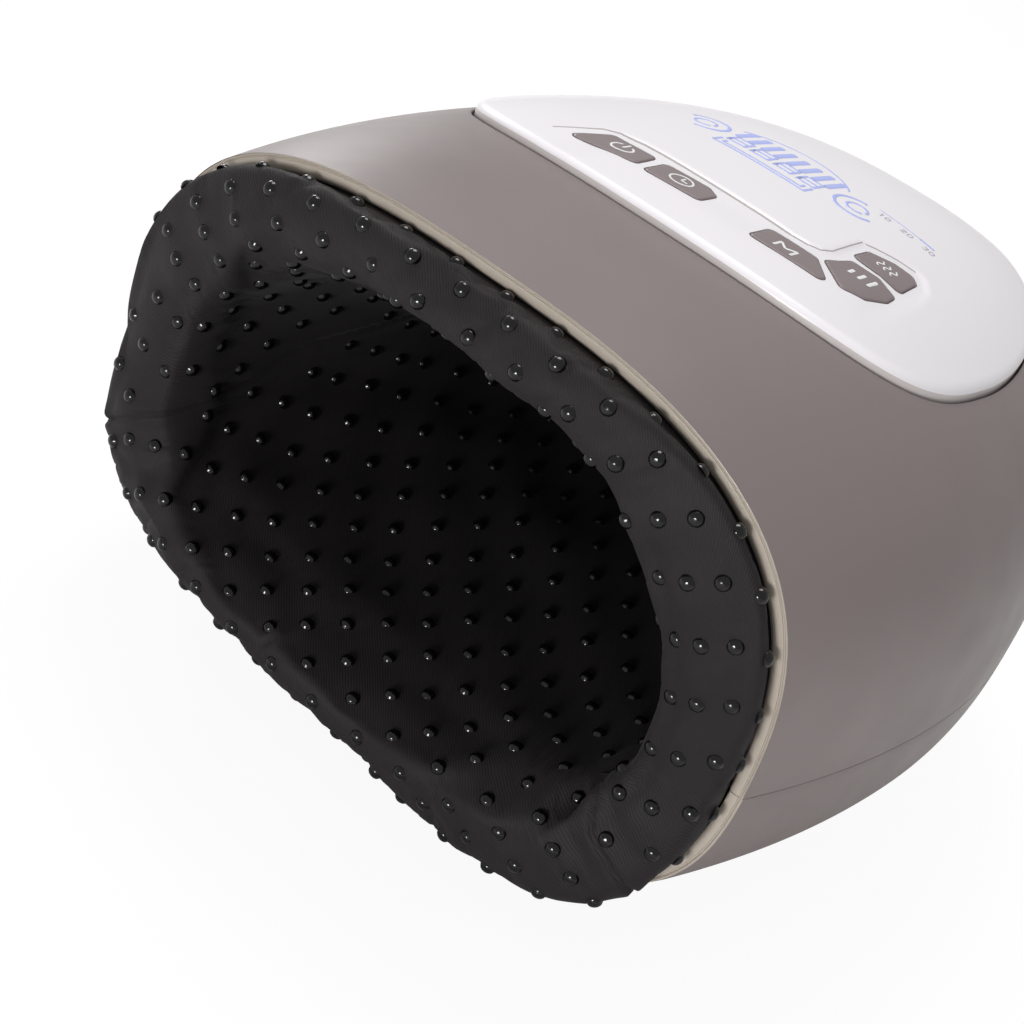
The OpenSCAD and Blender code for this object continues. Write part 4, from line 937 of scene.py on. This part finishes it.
def cloth_front(a):
    """The cloth's face: out from behind the rim, over the pad and down the pocket to its end."""
    over = np.interp(np.degrees(a) % 360, list(OVERHANG), list(OVERHANG.values()))[:, None]
    flow = flow_share(a)[:, None]
    ahead = np.array([0, 1.0, 0])
    edge, inner = body_pt(0.0, a, WALL + LAYER_GAP), pocket_pt(0.0, a, -LINER_T)
    across = (inner - edge) * [1, 0, 1]
    width = norm(across, axis=1, keepdims=True)
    across = across / width
    root = edge + ahead * ROOT_DEPTH + across * 0.3
    side = edge - across * over - ahead * (4.2 + 0.35 * over)
    front = edge + across * (width * (0.5 - 0.02 * over))
    front[:, 1] = MOUTH_Y + lead(front[:, 2] - SEAM_Z) - FRONT_REACH
    rise = (side - front)[:, 1:2] * CORNER_PULL
    reach = norm((front - side) * [1, 0, 1], axis=1, keepdims=True)
    out = bezier(root, root - ahead * 2.2, side + ahead * 1.6, side, 9)
    over_top = bezier(side, side - ahead * rise, front - across * reach * CORNER_PULL, front, 9)
    start = (0.07 + 0.13 * flow)[:, 0]
    landing = pocket_pt(start, a, -LINER_T)
    slope = unit(pocket_pt(start + 0.01, a, -LINER_T) - landing)
    onward = front + across * width * (0.5 + 0.12 * flow)
    bend = bezier(front, onward, landing - slope * (9 + 16 * flow), landing, 22)
    v = start[:, None] + (1 - start[:, None]) * lining_places()[None, 1:]
    lining = pocket_pt(v, a[:, None], -LINER_T)
    return np.concatenate([out, over_top[:, 1:], bend[:, 1:], lining], axis=1)


FRONT_ROW, BEND_ROW, HIDDEN_ROW = 16, 37, 28
CLOTH_T = 0.95


def cloth_behind(a):
    """The hidden back of the roll; it draws back where the pad flows into the pocket."""
    around, turn = np.meshgrid(a, np.linspace(math.pi, 2 * math.pi, 12), indexing="ij")
    fill = np.where(np.cos(turn) < 0, 0.9 - 0.8 * flow_share(around), 0.96)
    return roll_pt(around, turn, ROLL_BULGE, ROLL_BACK * 0.9, fill)


def path_lengths(grid, row):
    """Length along the cloth of every point, counted from a row."""
    step = norm(np.diff(grid, axis=1), axis=-1)
    along = np.hstack([np.zeros((len(step), 1)), np.cumsum(step, 1)])
    return along - along[:, row : row + 1]


def around_lengths(grid, column):
    """Length round the mouth of every point, counted from a column."""
    return path_lengths(grid.swapaxes(0, 1), column).T


def grid_normals(grid):
    """Normals of a grid that closes round the mouth; they face out of the cloth."""
    du = np.roll(grid, -1, 0) - np.roll(grid, 1, 0)
    return unit(np.cross(du, np.gradient(grid, axis=1)))


# Frames of the cloth simulation, the most that a point may move in mm, the rows held behind
# the rim, and the rows over which the bend into the pocket is held more and more
PUFF_FRAMES, PUFF_CAP, HELD_ROWS, BEND_FADE = 20, 1.6, 6, 10


def puff(front, behind):
    """Blows the roll up as cloth held at its back, and caps how far each point moves."""
    rows = BEND_ROW + 1
    ring = np.concatenate([front[:, :rows], behind[:, 1:-1]], axis=1)
    row = np.arange(ring.shape[1])
    free = (row >= HELD_ROWS) & (row < rows)
    hold = np.where(free, ease((row - BEND_ROW) / BEND_FADE + 1), 1.0)
    shape = Shape()
    shape.grid(ring, wrap_rows=True, wrap_cols=True)
    obj = shape.build("roll_cloth", [], weld=0)
    group = obj.vertex_groups.new(name="held")
    for index in range(ring.shape[0] * ring.shape[1]):
        if hold[index % len(row)] > 0.01:
            group.add([index], float(hold[index % len(row)]), "REPLACE")
    cloth = obj.modifiers.new("Cloth", "CLOTH")
    s = cloth.settings
    s.quality, s.mass, s.air_damping = 5, 0.25, 1.0
    s.tension_stiffness = s.compression_stiffness = 12
    s.shear_stiffness, s.bending_stiffness = 6, 0.35
    s.use_pressure, s.uniform_pressure_force = True, 4.0
    s.shrink_min = -0.03
    s.effector_weights.gravity = 0
    s.vertex_group_mass = "held"
    cloth.point_cache.frame_start, cloth.point_cache.frame_end = 1, PUFF_FRAMES
    for step in range(1, PUFF_FRAMES + 1):
        bpy.context.scene.frame_set(step)
    bake(obj)
    bpy.context.scene.frame_set(1)
    blown = np.zeros(len(obj.data.vertices) * 3)
    obj.data.vertices.foreach_get("co", blown)
    bpy.data.objects.remove(obj)
    moved = (blown.reshape(ring.shape) / MM - ring)[:, :rows]
    far = norm(moved, axis=-1, keepdims=True)
    moved *= np.minimum(1, PUFF_CAP / np.maximum(far, 1e-9)) * (1 - hold[:rows])[None, :, None]
    puffed = front.copy()
    puffed[:, :rows] += moved
    return puffed


CLOTH_R = 56.0  # mean radius of the cloth's tube
FOLD_AT, FOLD_DEPTH, RIDGE_HEIGHT = 318, 2.6, 0.8


def signed(deg):
    """The same angle from -180 to 180 degrees."""
    return (deg + 180) % 360 - 180


def seam_degrees(side, along):
    """Angle of a side seam at a length along the cloth from the roll's front."""
    if side == "left":
        return 193 - 0.38 * along
    return 331 + np.clip(along - 2, 0, 22) * 1.0


def sewn(front):
    """Presses the two side seams, their puckers and the soft folds into the cloth."""
    along = path_lengths(front, FRONT_ROW)
    a = np.linspace(0, 360, CLOTH_COLS, endpoint=False)[:, None]
    depth = np.zeros_like(along)
    for side in ("left", "right"):
        gap = signed(a - seam_degrees(side, along)) * math.pi / 180 * CLOTH_R
        depth -= 1.0 * np.exp(-((gap / 0.9) ** 2)) * ease((along + 16) / 3)
        depth += 0.55 * np.exp(-((gap / 4.5) ** 2))
        depth += 0.22 * np.sin(along * 1.9) * np.exp(-((gap / 4.0) ** 2))
    ripple = np.sin(np.radians(a) * 9 + along * 0.05) * np.sin(along * 0.16 + 1.1)
    depth += 0.5 * ripple * ease((along - 6) / 14)
    corner = signed(a - (FOLD_AT + 0.9 * along))
    fold = np.exp(-((corner / 5.5) ** 2)) * ease((along - 2) / 10) * ease((52 - along) / 16)
    ridge = np.exp(-(((corner + 10) / 6) ** 2)) * ease((along - 4) / 10) * ease((60 - along) / 20)
    depth += -FOLD_DEPTH * fold + RIDGE_HEIGHT * ridge
    depth += 0.35 * np.sin(np.radians(a) * 23 + 0.7) * np.exp(-(((along - 2) / 7) ** 2))
    return front + grid_normals(front) * depth[..., None]


def cloth():
    """The padded sleeve of the hand pocket: one sewn piece of twill, blown up round the mouth."""
    a = full_turn(CLOTH_COLS)
    front = cloth_front(a)
    behind = cloth_behind(a)
    front = puff(front, behind)
    front = sewn(front)
    hidden = (front - grid_normals(front) * CLOTH_T)[:, :HIDDEN_ROW:-1]
    back = np.concatenate([hidden, behind[:, 1:-1], front[:, :1]], axis=1)
    shape = Shape()
    half = CLOTH_COLS // 2
    for start in (0, half):
        part = front[np.arange(start, start + half + 1) % CLOTH_COLS]
        uv = np.stack([around_lengths(part, half // 2), path_lengths(part, FRONT_ROW)], -1)
        shape.grid(part, uv=uv + [start * 2.0, 0])
    shape.grid(back, wrap_rows=True)
    shape.fan(front[:, -1], front[:, -1].mean(0))
    shape.fan(back[:, 0], back[:, 0].mean(0))
    obj = shape.build("padded_sleeve", [cloth_black], weld=2e-6, sharp=180)
    place(obj, CASING, ["mouth_roll", "liner_upper", "liner_lower"], "fabric")
    return front


DOT_R, DOT_H, DOT_PITCH, DOT_SIDES = 1.42, 0.95, 11.7, 18
# Rows of dots, the least distance between two dots, and that to a seam
DOT_ROWS, DOT_CLEAR, SEAM_CLEAR = 17, 5.2, 3.2
# Rings of a dot from its foot to its top: shares of its height and of its radius
DOT_RINGS = [(-0.35, 1.1), (0.0, 1.08), (0.12, 1.0), (0.4, 0.93), (0.68, 0.74), (0.88, 0.48)]
DOT_RINGS += [(0.97, 0.22)]


def dot_template():
    """Rings of one dot that stands upright at the origin."""
    x, y = DOT_R * np.cos(full_turn(DOT_SIDES)), DOT_R * np.sin(full_turn(DOT_SIDES))
    return np.stack([stack(x * reach, y * reach, DOT_H * lift) for lift, reach in DOT_RINGS])


def dot_row_place(k):
    """Length along the cloth of a row of dots; the rows spread a little inwards."""
    return 5.5 + 6.2 * k + (0.22 * k * k if k > 0 else 0)


def sample(at, places, points):
    """Point at a place on a line, whose points lie at the places."""
    return np.array([np.interp(at, places, points[:, q]) for q in range(3)])


def dots(front):
    """Staggered rows of clear silicone dots over each half of the cloth, up to its seams."""
    template = dot_template()
    normals = grid_normals(front)
    along = path_lengths(front, FRONT_ROW)
    half, quarter = CLOTH_COLS // 2, CLOTH_COLS // 4
    margin = math.degrees(SEAM_CLEAR / CLOTH_R)
    kept = []
    halves = (("upper", quarter, 0.0, 1), ("lower", 3 * quarter, -1.3, 0))
    for name, middle, drift, parity in halves:
        shape = Shape()
        for k in range(-3, DOT_ROWS):
            at = dot_row_place(k)
            columns = (np.arange(CLOTH_COLS) - half + middle) % CLOTH_COLS
            line = np.stack([sample(at, along[c], front[c]) for c in columns])
            normal = np.stack([sample(at, along[c], normals[c]) for c in columns])
            deg = (np.arange(CLOTH_COLS) - half + middle) * 360 / CLOTH_COLS
            around = around_lengths(line[:, None], half)[:, 0]
            pitch = DOT_PITCH - 0.12 * max(k, 0)
            shift = pitch / 2 * (k % 2 == parity) + drift * max(k, 0)
            left, right = seam_degrees("left", at), seam_degrees("right", at) - 360
            low, high = (right, left) if name == "upper" else (left, right + 360)
            for j in range(-12, 13):
                d = shift + j * pitch
                if not low + margin < np.interp(d, around, deg) < high - margin:
                    continue
                p = sample(d, around, line)
                if any(norm(p - q) < DOT_CLEAR for q in kept):
                    continue
                kept.append(p)
                n = unit(sample(d, around, normal))
                u = unit(np.cross(n, [0.31, 0.83, 0.46]))
                placed = p + template @ np.stack([u, np.cross(n, u), n])
                shape.grid(placed, wrap_cols=True)
                shape.fan(placed[-1], p + n * DOT_H)
        place(shape.build("dots_" + name, [silicone], weld=0, sharp=180), CASING, slot="rubber")


# ---- the rest of the CAD nodes
def film(name, srgb, rough=0.25):
    """Thin welded film: creases that catch the light, slightly clouded."""
    f = Finish(name, linear(*srgb), rough, Coat_Weight=0.2)
    folds, cloud = f.noise(28, 5), f.noise(90, 3)
    f.shade(cloud, 0.85, 1.2)
    f.rough(folds, rough - 0.08, rough + 0.15)
    f.bump(folds, 0.4, 0.5)
    return f.mat


def heater_finish():
    """Amber film with the copper track that runs through it."""
    base = linear(196, 132, 52)
    f = Finish("heating_track", base, 0.3, Coat_Weight=0.3)
    track = f.ramp(f.bands("X", 38.0, 0.6), 0.55, 0.65, 0.0, 1.0)
    f.tint(track, base, linear(150, 74, 34))
    f.rough(f.noise(60, 3), 0.24, 0.4)
    f.bump(track, 0.3, 0.05)
    return f.mat


def wound(name, srgb, scale=700.0):
    """Turned or wound steel: fine rings round the piece."""
    f = Finish(name, linear(*srgb), 0.3, Metallic=1.0)
    rings = f.bands("Z", scale, 0.2)
    f.shade(rings, 0.8, 1)
    f.rough(f.noise(120, 3), 0.24, 0.4)
    f.bump(rings, 0.3, 0.05)
    return f.mat


NODE_FINISH = {
    board_green: ["control_board", "main_board"],
    dark_plastic: [
        *("chamber_upper", "chamber_lower", "battery_tray"),
        *("bay_frame", "pump_head", "valve_body"),
    ],
    moulded("part_cases", (30, 30, 33), 0.38, 1200): ["board_parts", "buzzer"],
    pale_plastic: ["light_guide", "key_plug", "manifold", "kneading_plate"],
    moulded("led_resin", (236, 232, 214), 0.25, 800, 0.01): ["display_leds"],
    film("shrink_sleeve", (38, 84, 150)): ["battery_pack"],
    foot_rubber: ["rubber_feet", "pump_sleeve"],
    steel: [
        *("motor_can", "charge_socket", "tact_switches"),
        *("board_screws", "bay_screws", "case_screws"),
    ],
    wound("turned_steel", (200, 200, 204)): ["pump_shaft", "valve_plunger"],
    wound("spring_wire", (176, 178, 184), 1400): ["valve_spring"],
}
CELLS = ["palm_air_cell", "finger_air_cell", "lower_air_cell"]
HOSES = ["pump_hose", "valve_hose", "palm_hose", "finger_hose", "lower_hose"]
SOFT_FINISH = {
    film("cell_film", (92, 95, 101)): ("air_cell", CELLS),
    heater_finish(): ("heating", ["heating_film"]),
    film("hose_silicone", (206, 208, 212), 0.35): ("hose", HOSES),
    rubber("wire_red", (150, 34, 28), 0.45): ("wire", ["motor_lead"]),
    rubber("wire_black", (40, 38, 40), 0.45): ("wire", ["battery_lead"]),
    rubber("wire_white", (214, 212, 208), 0.45): ("wire", ["key_board_lead"]),
    rubber("wire_amber", (186, 150, 60), 0.45): ("wire", ["heater_lead"]),
    woven("strap_webbing", (24, 24, 26), (52, 52, 56), pitch=0.9): ("fabric", ["battery_strap"]),
}
DIMPLE_MM = 0.35  # how deep the cells' film dimples


def finish_nodes():
    for finish, names in NODE_FINISH.items():
        for name in names:
            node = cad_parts[name]
            node.data.materials.clear()
            node.data.materials.append(finish)


def softened(name, finish, slot):
    """A soft inner piece shaped from its CAD solid: welded and rounded off; films are dimpled."""
    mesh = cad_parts[name].data.copy()
    work = bmesh.new()
    work.from_mesh(mesh)
    bmesh.ops.remove_doubles(work, verts=work.verts, dist=1e-5)
    angles = {"angle_face_threshold": 0.6, "angle_shape_threshold": 0.8}
    bmesh.ops.join_triangles(work, faces=work.faces, **angles)
    bmesh.ops.recalc_face_normals(work, faces=work.faces)
    work.to_mesh(mesh)
    work.free()
    mesh.materials.clear()
    mesh.materials.append(finish)
    obj = added(name + "_soft", mesh)
    mod = obj.modifiers.new("round", "SUBSURF")
    mod.levels = mod.render_levels = 1
    bake(obj)
    if name in CELLS:
        dimple(obj.data)
    obj.data.polygons.foreach_set("use_smooth", [True] * len(obj.data.polygons))
    place(obj, CASING, [name], slot)


def dimple(mesh):
    """Dimples a film bag softly, inwards only, so that it keeps clear of its neighbours."""
    count = len(mesh.vertices)
    points, normals = np.zeros(count * 3), np.zeros(count * 3)
    mesh.vertices.foreach_get("co", points)
    mesh.vertices.foreach_get("normal", normals)
    points, normals = points.reshape(-1, 3), normals.reshape(-1, 3)
    ripple = np.sin(points[:, 0] * 180) * np.sin(points[:, 1] * 210 + 0.6)
    points -= normals * (0.5 + 0.5 * ripple)[:, None] * DIMPLE_MM * MM
    mesh.vertices.foreach_set("co", points.ravel())


def soft_pieces():
    for finish, (slot, names) in SOFT_FINISH.items():
        for name in names:
            softened(name, finish, slot)


# ---- floor, lights, camera
# The photograph's camera: what it looks at, its angles, its distance and its focal length
AIM = np.array([20.399, -106.976, 72.843])
AZIMUTH, ELEVATION, ROLL = 26.259, 26.838, 23.914
DISTANCE, FOCAL_PX, PICTURE_PX, SENSOR = 366.547, 2070.627, 1024, 36.0


def camera():
    az, el, ro = (math.radians(v) for v in (AZIMUTH, ELEVATION, ROLL))
    ahead = np.array([-math.sin(az) * math.cos(el), math.cos(az) * math.cos(el), -math.sin(el)])
    right = np.array([math.cos(az), math.sin(az), 0])
    up = np.cross(right, ahead)
    turned = right * math.cos(ro) + up * math.sin(ro)
    upright = up * math.cos(ro) - right * math.sin(ro)
    where = (AIM - ahead * DISTANCE) * MM
    data = bpy.data.cameras.new("photo_camera")
    data.sensor_width, data.lens = SENSOR, SENSOR * FOCAL_PX / PICTURE_PX
    data.clip_start, data.clip_end = 0.01, 20
    cam = added("photo_camera", data)
    rows = [[turned[k], upright[k], -ahead[k], where[k]] for k in range(3)]
    cam.matrix_world = Matrix([*rows, [0, 0, 0, 1]])
    bpy.context.scene.camera = cam


def lamp(name, at, aim, size, watts):
    data = bpy.data.lights.new(name, "AREA")
    data.shape, data.size, data.energy = "DISK", size, watts
    obj = added(name, data)
    obj.location = at
    obj.rotation_mode = "QUATERNION"
    obj.rotation_quaternion = (Vector(aim) - Vector(at)).to_track_quat("-Z", "Y")


def seen_white(tree, shader_out, target, share, strength):
    """Rays from the camera see white; light and shadow stay as they are for the rest."""
    camera_ray = add_node(tree, "LightPath").outputs["Is Camera Ray"]
    part = add_node(tree, "Math", {"operation": "MULTIPLY"}, i0=camera_ray, i1=share).outputs[0]
    kind = "Background" if target.node.type == "OUTPUT_WORLD" else "Emission"
    white = add_node(tree, kind, Color=(1, 1, 1, 1), Strength=strength).outputs[0]
    blend = add_node(tree, "MixShader", i0=part, i1=shader_out, i2=white)
    tree.links.new(blend.outputs[0], target)


FLOOR_R, FLOOR_GREY, FLOOR_SHARE, FLOOR_WHITE = 19000, 0.86, 0.89, 1.04
AMBIENT, AMBIENT_TINT = 0.46, (1, 0.99, 0.985, 1)
# Each lamp's place, what it is aimed at, its size in metres and its power in watts
LAMPS = {
    "overhead": ((-0.25, 0.15, 0.95), (0, 0, 0.08), 0.5, 4.2),
    "back_left": ((-1.0, 0.6, 0.5), (0, 0, 0.08), 0.4, 3.4),
    "front": ((0.16, -1.0, 0.07), (0, -0.1, 0.05), 0.3, 6.4),
}


def studio():
    """A plain pale floor that runs into the background, even light and three soft lamps."""
    scene = bpy.context.scene
    scene.view_settings.view_transform = "Standard"
    f = Finish("floor_paper", (FLOOR_GREY,) * 3, 0.8)
    f.tint(f.noise(4, 3), (0.85, 0.85, 0.85), (0.88, 0.88, 0.88))
    surface = f.tree.nodes["Material Output"].inputs[0]
    seen_white(f.tree, f.shader.outputs[0], surface, FLOOR_SHARE, FLOOR_WHITE)
    shape = Shape()
    a = full_turn(96)
    ring = np.column_stack([FLOOR_R * np.cos(a), FLOOR_R * np.sin(a), np.zeros(96)])
    shape.fan(ring, [0, 0, 0])
    shape.build("floor", [f.mat], smooth=False)
    world = bpy.data.worlds.new("studio")
    scene.world = world
    world.use_nodes = True
    back = world.node_tree.nodes["Background"]
    back.inputs["Color"].default_value = AMBIENT_TINT
    back.inputs["Strength"].default_value = AMBIENT
    surface = world.node_tree.nodes["World Output"].inputs[0]
    seen_white(world.node_tree, back.outputs[0], surface, 1.0, 1.0)
    for name, values in LAMPS.items():
        lamp(name, *values)


# ---- all of it
camera()
studio()
finish_nodes()
casing_upper()
casing_lower()
belly_posts()
top_panel()
for key_name, key_corners in KEYS.items():
    key(key_name, key_corners)
icons()
display()
soft_pieces()
dots(cloth())
